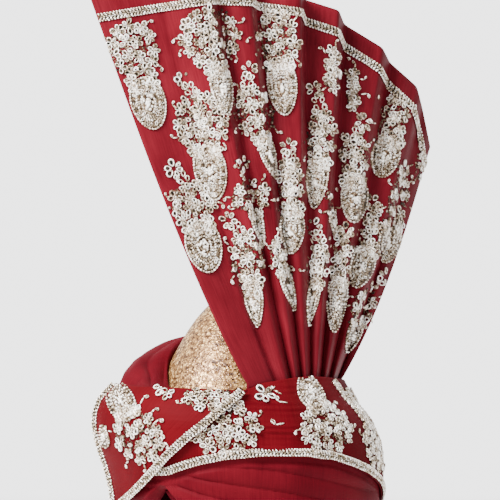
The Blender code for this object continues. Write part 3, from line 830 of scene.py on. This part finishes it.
def drop(half_wide, half_high):
    """A pad, an outline cord, two rows of small loops, rows of leaning cord and a bright middle."""
    parts = [("pads", np.array([[0, 0, 0, half_high, half_wide, 1.0, 0.45]]))]
    parts.append(cord_round(0.97, half_wide, half_high, 2.4, 0.95, 2.1, 0.55, 1.0, 12))
    for near, far, wide in ((0.70, 0.90, 1.25), (0.44, 0.60, 1.15)):
        if far * half_wide < 4:
            continue
        count = max(8, round(2.6 * far * (half_wide + half_high) / (2.3 * wide)))
        turn = (np.arange(count) + draw.uniform(-0.2, 0.2, count)) * 2 * math.pi / count
        x, y = drop_outline(near, half_wide, half_high, turn)
        far_x, far_y = drop_outline(far, half_wide, half_high, turn)
        way = np.degrees(np.arctan2(far_x - x, far_y - y)) + 20
        long = np.hypot(far_x - x, far_y - y)
        parts.append(rows_of("petals", x, y, way, long, wide, draw.uniform(1.5, 2.3, count), draw.uniform(0.4, 1.1, count)))
        parts.append(rows_of("hearts", (x + far_x) / 2, (y + far_y) / 2, way, long * 0.3, wide * 0.5, 1.5, draw.uniform(0.0, 0.8, count)))
    parts.append(cord_round(0.64, half_wide, half_high, 2.2, 0.75, 2.0, 0.5, 1.1, 35))
    if half_wide > 7:
        parts.append(cord_round(0.38, half_wide, half_high, 2.2, 0.8, 2.3, 0.6, 1.2, -30))
    x, y = drop_outline(draw.uniform(0.02, 0.32, 26), half_wide, half_high, draw.uniform(0, 6.28, 26))
    parts.append(rows_of("stones", x, y, 0, 1.3, 1.1, 2.7, draw.uniform(0.9, 1.2, 26)))
    return parts


def motif(rise, bunch_size, drop_size=None, flower_at=None):
    """The drop at 0, the bunch's middle at rise above it, and the small flower where it is asked for."""
    parts = drop(*drop_size) if drop_size is not None else []
    if drop_size is not None:
        low, high = 0.62 * drop_size[1], rise - 0.75 * bunch_size[1]
        for share in (0.0, 0.55):
            for side in (-0.5, 0.5):
                x, y = side * (drop_size[0] + share * 3), low + (max(high, low + 4) - low) * share
                parts += flower(x, y, 6, min(6.6, drop_size[0] * 0.8), draw.uniform(0, 60))
    parts += bunch(0, rise, *bunch_size)
    if flower_at is not None:
        parts += flower(*flower_at, 6, 8.2, draw.uniform(0, 60), True)
        near, far = np.array([0, rise + 0.8 * bunch_size[1]]), np.array(flower_at)
        step = far - near
        turn = math.degrees(math.atan2(step[0], step[1]))
        for share in (0.15, 0.45):
            spot = near + step * share
            for side in (-1.8, 1.8):
                parts.append(rows_of("petals", spot[0] + side, spot[1], turn + 30 * np.sign(side), 5.6, 2.3, 1.6, draw.uniform(0.6, 0.95)))
    return parts


print("one motif has", sum(len(rows) for kind, rows in motif(43.7, (19, 25), (14, 24), (0, 76))), "stitches")

# %% [markdown]
# To lay a flat motif on a pleated cloth, each stitch keeps its place as seen from the fan's side:
# a ray from the viewer finds the cloth there, and the stitch lies in the cloth's own plane. Stitches
# whose ray misses are past the cloth's edge and are left out, as the cut cloth would leave them.

# %% Charts from the flat motif to the cloth
VIEWER, RIGHTWARD, UPWARD = place(0, 1, 0), place(1, 0, 0), np.array([0.0, 0.0, 1.0])


def unit(vectors):
    return vectors / np.linalg.norm(vectors, axis=-1, keepdims=True)


def facing(grid):
    """Unit normals of a grid, from its columns' and rows' directions."""
    return unit(np.cross(np.gradient(grid, axis=1), np.gradient(grid, axis=0)))


def seen_chart(grid):
    """Gives a function from places as seen to points, normals and the two tangents seen as right and up."""
    tree = BVHTree.FromPolygons(grid.reshape(-1, 3).tolist(), quads(*grid.shape[:2]).tolist())
    normals = facing(grid)
    cells = grid.shape[1] - 1

    def chart(across, height):
        starts = place(across, 500, height)
        hits = [tree.ray_cast(Vector(s), Vector(-VIEWER)) for s in starts]
        found = np.array([hit[0] is not None for hit in hits])
        points = np.array([tuple(hit[0]) if hit[0] is not None else (0, 0, 0) for hit in hits])
        cell = np.array([hit[2] if hit[2] is not None else 0 for hit in hits])
        normal = normals[cell // cells, cell % cells]
        facing_us = normal @ VIEWER
        found &= facing_us > 0.08
        steep = np.maximum(facing_us, 0.3)[:, None]
        right = RIGHTWARD - (normal @ RIGHTWARD)[:, None] / steep * VIEWER
        up = UPWARD - (normal @ UPWARD)[:, None] / steep * VIEWER
        return found, points, normal, right, up

    return chart


def lap_chart(middle_angle, middle_height):
    """Gives a function from lengths along and up the lap that goes round to the same four arrays."""
    step = np.linalg.norm(lap_point(middle_angle + 0.5, middle_height) - lap_point(middle_angle - 0.5, middle_height))

    def chart(along, up):
        angle, height = middle_angle + along / step, middle_height + up
        low, high = by_angle(LAP_UNDER, "low", angle), by_angle(LAP_UNDER, "high", angle)
        found = (height > low + 2) & (height < high - 0.6)
        points = lap_point(angle, height)
        right = unit(lap_point(angle + 0.4, height) - points)
        rise = unit(lap_point(angle, height + 0.4) - points)
        return found, points, unit(np.cross(right, rise)), right, rise

    return chart


def drop_pad(row, chart, foot, turn):
    """The drop's filling: rings of its outline laid on the cloth, low at the rim and higher inside."""
    share, at = np.linspace(1.0, 0.0, PAD_RINGS)[:, None], np.linspace(0, 2 * math.pi, PAD_SIDES, endpoint=False)
    x, y = drop_outline(share, row[4], row[3], at)
    x, y = np.broadcast_arrays(x, y)
    found, points, normal, right, up = chart(
        (foot[0] + x * math.cos(turn) + y * math.sin(turn)).ravel(), (foot[1] - x * math.sin(turn) + y * math.cos(turn)).ravel())
    lift = np.where(share >= 1, 0.05, 0.3 + 0.4 * np.sqrt(np.clip(1 - share, 0, 1))) + 0 * x
    return found, points + normal * lift.reshape(-1, 1)


def sew_pads(name, pads, material):
    """One mesh of all the pads, less the cells whose corners are off the cloth or torn by a fold."""
    cells = quads(PAD_RINGS, PAD_SIDES, False, True)[:, ::-1]
    points, faces, start = [], [], 0
    for found, spots in pads:
        corners = spots[cells]
        spread = np.linalg.norm(corners - np.roll(corners, 1, axis=1), axis=-1).max(axis=1)
        faces.append(cells[found[cells].all(axis=1) & (spread < 9)] + start)
        points.append(spots)
        start += len(spots)
    faces = np.concatenate(faces)
    used, corners = np.unique(faces, return_inverse=True)
    spots = np.concatenate(points)[used]
    tint = 0.3 + 0.2 * np.sin(spots[:, 2] * 2.1) * np.sin(spots[:, 0] * 1.7)
    sewn = new_piece(name, spots, [corners.reshape(faces.shape)], material, marks={"tint": tint})
    close_seam(sewn)
    thicken(sewn, PAD_THICK)
    return sewn


SUNK_MOST = 1.0


def sunk(chart, spots):
    """How far each spot lies behind the cloth that is seen at its place from the fan's side."""
    found, cloth = chart(spots @ RIGHTWARD, spots[:, 2])[:2]
    return np.where(found, (cloth - spots) @ VIEWER, 0.0)


def lies_on_top(chart, kind, rows, points, along, across):
    """True where both ends and both sides of a stitch are less than a cloth's thickness behind the cloth."""
    first = 0.0 if kind in ("petals", "coils") else -0.9
    clear = np.ones(len(rows), bool)
    for end, side in ((first, 0.0), (0.9, 0.0), ((first + 0.9) / 2, 0.9), ((first + 0.9) / 2, -0.9)):
        clear &= sunk(chart, points + along * end * rows[:, 3:4] + across * side * rows[:, 4:5]) < SUNK_MOST
    return clear


def lay(work, parts, chart, foot=(0.0, 0.0), lean=0.0, lift=0.0, pleated=False):
    """Turns the motif by its lean, moves it to its foot and adds its stitches, on the cloth, to the work."""
    turn = math.radians(lean)
    for kind, rows in parts:
        if kind == "pads":
            work[kind].append(drop_pad(rows[0], chart, foot, turn))
            continue
        if not len(rows):
            continue
        x = foot[0] + rows[:, 0] * math.cos(turn) + rows[:, 1] * math.sin(turn)
        y = foot[1] - rows[:, 0] * math.sin(turn) + rows[:, 1] * math.cos(turn)
        found, points, normal, right, up = chart(x, y)
        way = np.radians(rows[:, 2] + lean)[:, None]
        if kind in ("petals", "coils", "hearts"):
            found &= chart(x + 0.8 * rows[:, 3] * np.sin(way[:, 0]), y + 0.8 * rows[:, 3] * np.cos(way[:, 0]))[0]
        along = unit(right * np.sin(way) + up * np.cos(way))
        across = np.cross(along, normal)
        if pleated:
            found &= lies_on_top(chart, kind, rows, points, along, across)
        frames = np.stack([points + normal * lift, across, along, normal], axis=1)
        work[kind].append(np.concatenate([frames.reshape(-1, 12), rows[:, 3:]], axis=1)[found])


def sew(name, work, kinds, material):
    """Puts each stitch's shape on its frame: across times x plus along times y plus normal times z."""
    points, faces, tints, start = [], {3: [], 4: []}, [], 0
    for kind in kinds:
        if not work[kind]:
            continue
        rows = np.concatenate(work[kind])
        shape, face_sets = SHAPES[kind]
        frames = rows[:, :12].reshape(-1, 4, 3)
        size = rows[:, [13, 12, 14]]
        local = shape[None] * size[:, None]
        placed = frames[:, None, 0] + np.einsum("nvk,nkc->nvc", local, frames[:, 1:])
        points.append(placed.reshape(-1, 3))
        tints.append(np.repeat(rows[:, 15], len(shape)))
        each = start + np.arange(len(rows))[:, None, None] * len(shape)
        for one in face_sets:
            faces[one.shape[1]].append((one[None] + each).reshape(-1, one.shape[1]))
        start += len(rows) * len(shape)
    sets = [np.concatenate(f) for f in faces.values() if f]
    return new_piece(name, np.concatenate(points), sets, material, marks={"tint": np.concatenate(tints)})


PAD_RINGS, PAD_SIDES, PAD_THICK = 8, 28, 0.3


def new_work():
    return {kind: [] for kind in [*SHAPES, "pads"]}


# %% [markdown]
# The fan carries about twenty motifs in slanting rows, each pointing its drop to the fan's foot, so
# they crowd together where the pleats meet. Some lie over a fold and show only in part. The table
# gives where the bunch and the drop sit as seen from the fan's side, and the small flower if shown.

# %% Embroider the fan
FAN_MOTIFS = table(
    "bunch_across bunch_height bunch_wide bunch_high drop_across drop_height drop_wide drop_high flower_across flower_height",
    [
        (-86.3, 380.7, 21.9, 24.3, -73.7, 337, 14.6, 21.9, 0, 0),
        (-23.5, 390.4, 25.9, 25.9, -14.6, 347.5, 8.9, 20.2, 0, 0),
        (29.2, 388.8, 20.2, 25.1, 34, 349.9, 13, 22.7, 0, 0),
        (-31.6, 321.6, 22.7, 27.5, -23.5, 281.1, 13.8, 22.7, -46.2, 356.4),
        (11.3, 328.9, 17.8, 25.1, 23.5, 293.2, 6.5, 18.6, 7.3, 364.5),
        (-38.1, 256, 20.2, 20.2, -29.2, 221.9, 15, 21.9, -53.5, 284.3),
        (64.8, 310.2, 14.6, 23.5, 61.6, 273, 9.7, 21.1, 60.8, 348.3),
        (75.3, 365.3, 8.9, 20.2, 75.3, 325.3, 0, 0, 0, 0),
        (91.9, 348.3, 6.5, 19.4, 91.9, 308.3, 0, 0, 0, 0),
        (124.7, 325.6, 13.8, 21.1, 117.5, 294, 12.2, 17, 0, 0),
        (93.2, 294.8, 13.8, 21.1, 92.3, 259.2, 11.3, 18.6, 99.6, 322.4),
        (40.5, 272.2, 12.2, 22.7, 41.3, 234.1, 10.5, 18.6, 38.9, 302.1),
        (8.9, 262.4, 17, 14.6, 15.4, 236.5, 5.3, 15.4, 1.6, 288.4),
        (5.7, 213.8, 16.2, 21.9, 11.3, 175.8, 8.1, 19.4, -8.9, 243),
        (31.6, 215.5, 8.1, 16.2, 39.7, 187.1, 5.7, 18.6, 0, 0),
        (63.2, 209, 10.5, 19.4, 58.3, 176.6, 5.7, 20.2, 59.9, 237.3),
        (72.9, 256.8, 4.1, 11.3, 75.3, 239.8, 3.2, 11.3, 0, 0),
        (81.8, 212.2, 9.7, 21.1, 77.8, 174.2, 8.1, 22.7, 85.9, 233.3),
        (105.3, 233.3, 11.3, 19.4, 98, 204.9, 10.5, 17.8, 106.9, 256.8),
        (128.8, 259.2, 9.7, 21.1, 120.7, 223.6, 9.7, 16.2, 132.8, 284.3),
        (148.2, 285.9, 6.5, 14.6, 148.2, 245.9, 0, 0, 0, 0),
        (100.4, 173.3, 10.5, 17.8, 91.5, 148.2, 6.5, 15.4, 117.5, 196.8),
    ],
)


def embroider_fan():
    """Each motif is laid flat along the line from its drop to its bunch, then found on the cloth."""
    work, chart = new_work(), seen_chart(FAN_GRID)
    for row in np.array(list(FAN_MOTIFS.values())).T:
        bunch_at, drop_at, flower_at = row[:2], row[4:6], row[8:]
        rise = float(np.hypot(*(bunch_at - drop_at)))
        lean = math.degrees(math.atan2(*(bunch_at - drop_at)))
        turn = math.radians(lean)
        away = flower_at - drop_at
        flat = (away[0] * math.cos(turn) - away[1] * math.sin(turn), away[0] * math.sin(turn) + away[1] * math.cos(turn))
        drop_size = row[6:8] if row[6] > 0 else None
        lay(work, motif(rise, row[2:4], drop_size, flat if flower_at.any() else None), chart, drop_at, lean, 0.0, True)
    return work


fan_work = embroider_fan()
fan_petals = sew("fan_petals", fan_work, ["petals"], CORD_SILVER)
fan_coils = sew("fan_coils", fan_work, ["coils"], CORD_SILVER)
fan_grains = sew("fan_cords", fan_work, ["grains", "stones"], CORD_SILVER)
fan_hearts = sew("fan_hearts", fan_work, ["hearts"], HEART_SILVER)
fan_pads = sew_pads("fan_drop_pads", fan_work["pads"], CORD_SILVER)

# %% [markdown]
# On the laps the same motifs hang the other way up, with the drop above the bunch, because the
# cloth comes down there from the fan's foot. Those of the flap are placed as seen. Those of the lap
# that goes round are placed by their angle, and the same motif goes on at equal steps round the back.

# %% Embroider the laps
def embroider_flap():
    """Places as seen from the fan's side; a motif hangs, so it leans by about half a turn."""
    work, chart = new_work(), seen_chart(FLAP_GRID)
    lay(work, motif(31, (20.5, 25), (11.5, 17)), chart, (-95.5, 97.5), 153)
    lay(work, motif(33, (21.5, 16)), chart, (-25.9, 137.7), 180)
    lay(work, flower(0, 0, 5, 8.0, 30), chart, (-63.0, 108.0), 180)
    lay(work, flower(0, 0, 5, 7.0, 30), chart, (-58.5, 104.0), 180)
    lay(work, drop(4.0, 9.5), chart, (-109.0, 69.0), 170)
    for x, y, turn in ((-80, 95, 28), (-70, 79, 50), (-70, 70, 75)):
        lay(work, curl(0, 0, turn, 6.5, 60), chart, (x, y), 0)
    return work


def leaf(length):
    """A slim leaf that hangs: pairs of petals down a curved stem, smaller towards its tip."""
    parts = []
    for step in np.linspace(0, 1, 9):
        for side in (-1, 1):
            parts.append(rows_of("petals", 2.2 * math.sin(step * 3) + side * 0.8, -length * step, 180 - side * 32,
                                 6.4 - 2 * step, 2.5 - 0.6 * step, 1.8, draw.uniform(0.5, 0.95)))
    return parts


def embroider_lap():
    """Places by angle and height; the drop's top and the bunch's foot are cut by the lap's edges."""
    work = new_work()
    for across, height, rise, lean, bunch_size, drop_size in (
        (-12.0, 109.0, 34, 176, (25, 22), (13, 15)),
        (57.0, 104.5, 29, 171, (29, 21.5), (16.5, 15)),
    ):
        angle = float(angle_seen(across, height))
        lay(work, motif(rise, bunch_size, drop_size), lap_chart(angle, height), (0, 0), lean)
    lay(work, flower(0, 0, 5, 9.5, 0), lap_chart(float(angle_seen(21.1, 103)), 103.0), (0, 0), 180)
    for across, height, turn in ((34, 103, -60), (38, 96, -80), (36, 80, -100)):
        lay(work, curl(0, 0, turn, 7.5, 70), lap_chart(float(angle_seen(across, height)), height), (0, 0), 0)
    lay(work, leaf(30), lap_chart(float(angle_seen(75, 114)), 114.0), (0, 0), -22)
    for angle in (74, 106, 138, 170, -158, -126, -98):
        lay(work, motif(32, (23, 22), (13, 15)), lap_chart(angle, 92.0 if abs(angle) < 90 else 88.0), (0, 0), 184)
        lay(work, flower(0, 0, 5, 8.5, 0), lap_chart(angle + 15, 100.0), (0, 0), 180)
    return work


flap_work, lap_work = embroider_flap(), embroider_lap()
both = {kind: flap_work[kind] + lap_work[kind] for kind in SHAPES}
lap_petals = sew("lap_petals", both, ["petals"], CORD_SILVER)
lap_coils = sew("lap_coils", both, ["coils"], CORD_SILVER)
lap_grains = sew("lap_cords", both, ["grains", "stones"], CORD_SILVER)
lap_hearts = sew("lap_hearts", both, ["hearts"], HEART_SILVER)
lap_pads = sew_pads("lap_drop_pads", flap_work["pads"] + lap_work["pads"], CORD_SILVER)

# %% [markdown]
# The braid is two rows of slanting stitches between three cords, on a flat tape. It is built along
# a path on the cloth: the path gives each stitch its place and direction, and the cloth's normal
# says which way is up. The stitches of the two rows slant against each other like a herringbone.

# %% Braid
def braid_frames(path, normal, pitch, offset, start=0.0):
    """Frames at equal steps along a path, moved sideways on the cloth by an offset."""
    run = np.concatenate([[0], np.cumsum(np.linalg.norm(np.diff(path, axis=0), axis=1))])
    count = max(4, int(run[-1] / pitch))
    at = (np.arange(count) + 0.5 + start) * run[-1] / count
    spot = np.stack([np.interp(at, run, path[:, c]) for c in range(3)], -1)
    ahead = np.stack([np.interp(at + 0.6, run, path[:, c]) - np.interp(at - 0.6, run, path[:, c]) for c in range(3)], -1)
    up = unit(np.stack([np.interp(at, run, normal[:, c]) for c in range(3)], -1))
    along = unit(ahead - up * np.sum(ahead * up, -1, keepdims=True))
    side = np.cross(along, up)
    return spot + side * offset, side, along, up


def braid_row(work, path, normal, pitch, offset, slant, long, wide, high, tints, lift, start=0.0):
    spot, side, along, up = braid_frames(path, normal, pitch, offset, start)
    turn = math.radians(slant)
    way = along * math.cos(turn) + side * math.sin(turn)
    across = np.cross(way, up)
    frames = np.stack([spot + up * lift, across, way, up], axis=1).reshape(-1, 12)
    sizes = np.stack([long + 0 * spot[:, 0], wide + 0 * spot[:, 0], high + 0 * spot[:, 0], draw.uniform(*tints, len(spot))], -1)
    work["grains"].append(np.concatenate([frames, sizes], axis=1))


def tape(path, normal, half_wide, thick):
    """A closed strip under the stitches, four corners carried along the path."""
    spot, side, along, up = braid_frames(path, normal, 2.2, 0.0)
    corners = [(-half_wide, 0.15), (half_wide, 0.15), (half_wide, thick), (-half_wide, thick)]
    return np.stack([spot + side * s + up * z for s, z in corners], axis=1)


def braid(name, paths):
    """Two herringbone rows, a cord along each border and a finer one in the middle."""
    work = new_work()
    points, faces, start = [], [], 0
    for path, normal, share in paths:
        half_wide = share * BRAID_WIDE / 2
        ring = tape(path, normal, half_wide - 0.4, 0.7)
        points.append(ring.reshape(-1, 3))
        faces.append(quads(len(ring), 4, False, True)[:, ::-1] + start)
        ends = np.array([[0, 1, 2, 3], [3, 2, 1, 0]]) + np.array([[0], [(len(ring) - 1) * 4]])
        faces.append(ends + start)
        start += len(ring) * 4
        row = half_wide * 0.46
        braid_row(work, path, normal, 2.9, -row, 45, row * 0.95, 0.8, 1.3, (0.5, 1.1), 0.55)
        braid_row(work, path, normal, 2.9, row, -45, row * 0.95, 0.8, 1.3, (0.5, 1.1), 0.55, 0.2)
        for offset in (-half_wide + 0.5, half_wide - 0.5):
            braid_row(work, path, normal, 2.5, offset, 18, 1.25, 0.7, 1.4, (0.65, 1.1), 0.5)
        braid_row(work, path, normal, 2.2, 0.0, 14, 1.2, 0.45, 1.2, (0.45, 1.0), 0.7)
    ground = new_piece(name + "_tape", np.concatenate(points), [np.concatenate(faces)], HEART_SILVER,
                       marks={"tint": np.full(start, 0.22)})
    return ground, sew(name, work, ["grains"], BRAID_SILVER)


def fan_braid_path():
    """Along the fan at the braid's distance below its upper edge, with the cloth's normals."""
    at = np.linspace(0, FAN_LINES - 1, 900)
    length = np.linalg.norm(fan_surface(at, 1.0) - fan_surface(at, 0.0), axis=-1)
    rise = 1 - (FAN_BRAID_DROP + BRAID_WIDE / 2) / length
    rows = np.array([fan_surface(at, rise - 0.004), fan_surface(at, rise), fan_surface(at, rise + 0.004)])
    return rows[1], facing(rows)[1], 1.0


def lap_braid_path():
    angle = np.linspace(-180, 180, 1200)
    height = by_angle(LAP_UNDER, "low", angle) + 0.4 + BRAID_WIDE / 2
    rows = np.array([lap_point(angle, height + s) for s in (-0.5, 0, 0.5)])
    return rows[1], facing(rows)[1], 1.0


def flap_braid_paths():
    """Both borders of the flap, half a braid in from the edge; the left one is rolled to the front."""
    share = np.linspace(0.004, 0.992, 500)
    wide = np.linalg.norm(flap_point(share, 1.0) - flap_point(share, 0.0), axis=-1)
    inset = np.minimum((BRAID_WIDE / 2 + 0.1) / wide, 0.3)
    paths = []
    for side, towards_us, share_wide in ((inset * 0.3, 1.3, 0.72), (1 - inset, 0.0, 1.0)):
        rows = np.array([flap_point(share, side + s / wide) for s in (-0.5, 0, 0.5)])
        paths.append((rows[1] + 1.2 * towards_us * place(-0.6, 0.8, 0), unit(-facing(rows)[1] + towards_us * VIEWER), share_wide))
    return paths


fan_tape, fan_braid = braid("fan_braid_cords", [fan_braid_path()])
lap_tape, lap_braid = braid("lap_braid_cords", [lap_braid_path()])
flap_tape, flap_braid = braid("flap_braid_cords", flap_braid_paths())
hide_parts("fan_braid")
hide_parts("band_under_braid")
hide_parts("band_over_braid")

# %% [markdown]
# The stage is a pale floor that fades into a pale room, so no edge of it shows behind the turban.
# One large soft light from the left front gives the pleats their bright and dark sides, and a weak
# one from the right keeps the dark sides from going black.

# %% Floor, lights and camera
def make_floor():
    """A disc of rings whose alpha falls smoothly to nothing before its rim."""
    material, tree, shader = new_material("pale floor")
    where = node(tree, "ShaderNodeTexCoord").outputs["Object"]
    away = node(tree, "ShaderNodeVectorMath", {"operation": "LENGTH"}, input0=where).outputs["Value"]
    fade = node(tree, "ShaderNodeMapRange", {"interpolation_type": "SMOOTHSTEP"}, Value=away)
    for label, value in (("From Min", 0.5), ("From Max", 1.9), ("To Min", 1.0), ("To Max", 0.0)):
        fade.inputs[label].default_value = value
    tree.links.new(fade.outputs["Result"], shader.inputs["Alpha"])
    shader.inputs["Base Color"].default_value = (0.80, 0.80, 0.80, 1)
    shader.inputs["Roughness"].default_value = 0.8
    turn = np.linspace(0, 2 * math.pi, 96, endpoint=False)
    radius = np.linspace(2.0, 0.002, 40)[:, None]
    grid = np.stack([radius * np.cos(turn), radius * np.sin(turn), -0.0185 + 0 * radius * turn], axis=-1)
    mesh = bpy.data.meshes.new("floor")
    faces = quads(40, 96, False, True).tolist() + [tuple(range(39 * 96, 40 * 96))]
    mesh.from_pydata(grid.reshape(-1, 3).tolist(), [], faces)
    mesh.materials.append(material)
    floor = bpy.data.objects.new("floor", mesh)
    bpy.context.scene.collection.objects.link(floor)


def soft_light(name, azimuth, elevation, distance, size, power, shines=False):
    """A square area light aimed at the turban's middle, placed by its angles and distance."""
    turn, rise = math.radians(azimuth), math.radians(elevation)
    back = Vector((math.sin(turn) * math.cos(rise), -math.cos(turn) * math.cos(rise), math.sin(rise)))
    lamp = bpy.data.lights.new(name, "AREA")
    lamp.size, lamp.energy = size, power
    light = bpy.data.objects.new(name, lamp)
    light.location = Vector((0, 0, 0.2)) + back * distance
    light.rotation_euler = (-back).to_track_quat("-Z", "Y").to_euler()
    light.visible_glossy = shines
    bpy.context.scene.collection.objects.link(light)


def pale_room():
    """The camera sees a pale grey room, and the turban gets a weaker even light from it."""
    world = bpy.data.worlds.new("pale room")
    world.use_nodes = True
    tree = world.node_tree
    tree.nodes.clear()
    seen = node(tree, "ShaderNodeLightPath").outputs["Is Camera Ray"]
    plain = node(tree, "ShaderNodeBackground", Color=(0.79, 0.79, 0.795, 1), Strength=4.3)
    weak = node(tree, "ShaderNodeBackground", Color=(1, 1, 1, 1), Strength=1.3)
    mix = node(tree, "ShaderNodeMixShader", input0=seen, input1=weak.outputs[0], input2=plain.outputs[0])
    made = node(tree, "ShaderNodeOutputWorld", Surface=mix.outputs[0])
    bpy.context.scene.world = world


def photo_camera():
    """A long lens far off, so the picture is nearly free of perspective: 405 mm wide at the turban."""
    turn, rise, distance = FACE_TURN, math.radians(0.3), 12.0
    back = Vector((math.sin(turn) * math.cos(rise), -math.cos(turn) * math.cos(rise), math.sin(rise)))
    lens = bpy.data.cameras.new("long lens")
    lens.lens, lens.sensor_width = 36 * distance / 0.405, 36
    lens.clip_start, lens.clip_end = 0.1, 60
    camera = bpy.data.objects.new("camera", lens)
    camera.location = Vector((place(8.1, 0, 218.7) * MM).tolist()) + back * distance
    camera.rotation_euler = (-back).to_track_quat("-Z", "Y").to_euler()
    bpy.context.scene.collection.objects.link(camera)
    bpy.context.scene.camera = camera


make_floor()
pale_room()
soft_light("key", -8, 36, 2.0, 0.9, 235, True)
soft_light("fill", 85, 25, 2.2, 1.2, 8)
soft_light("back", 205, 35, 2.2, 1.0, 22)
photo_camera()
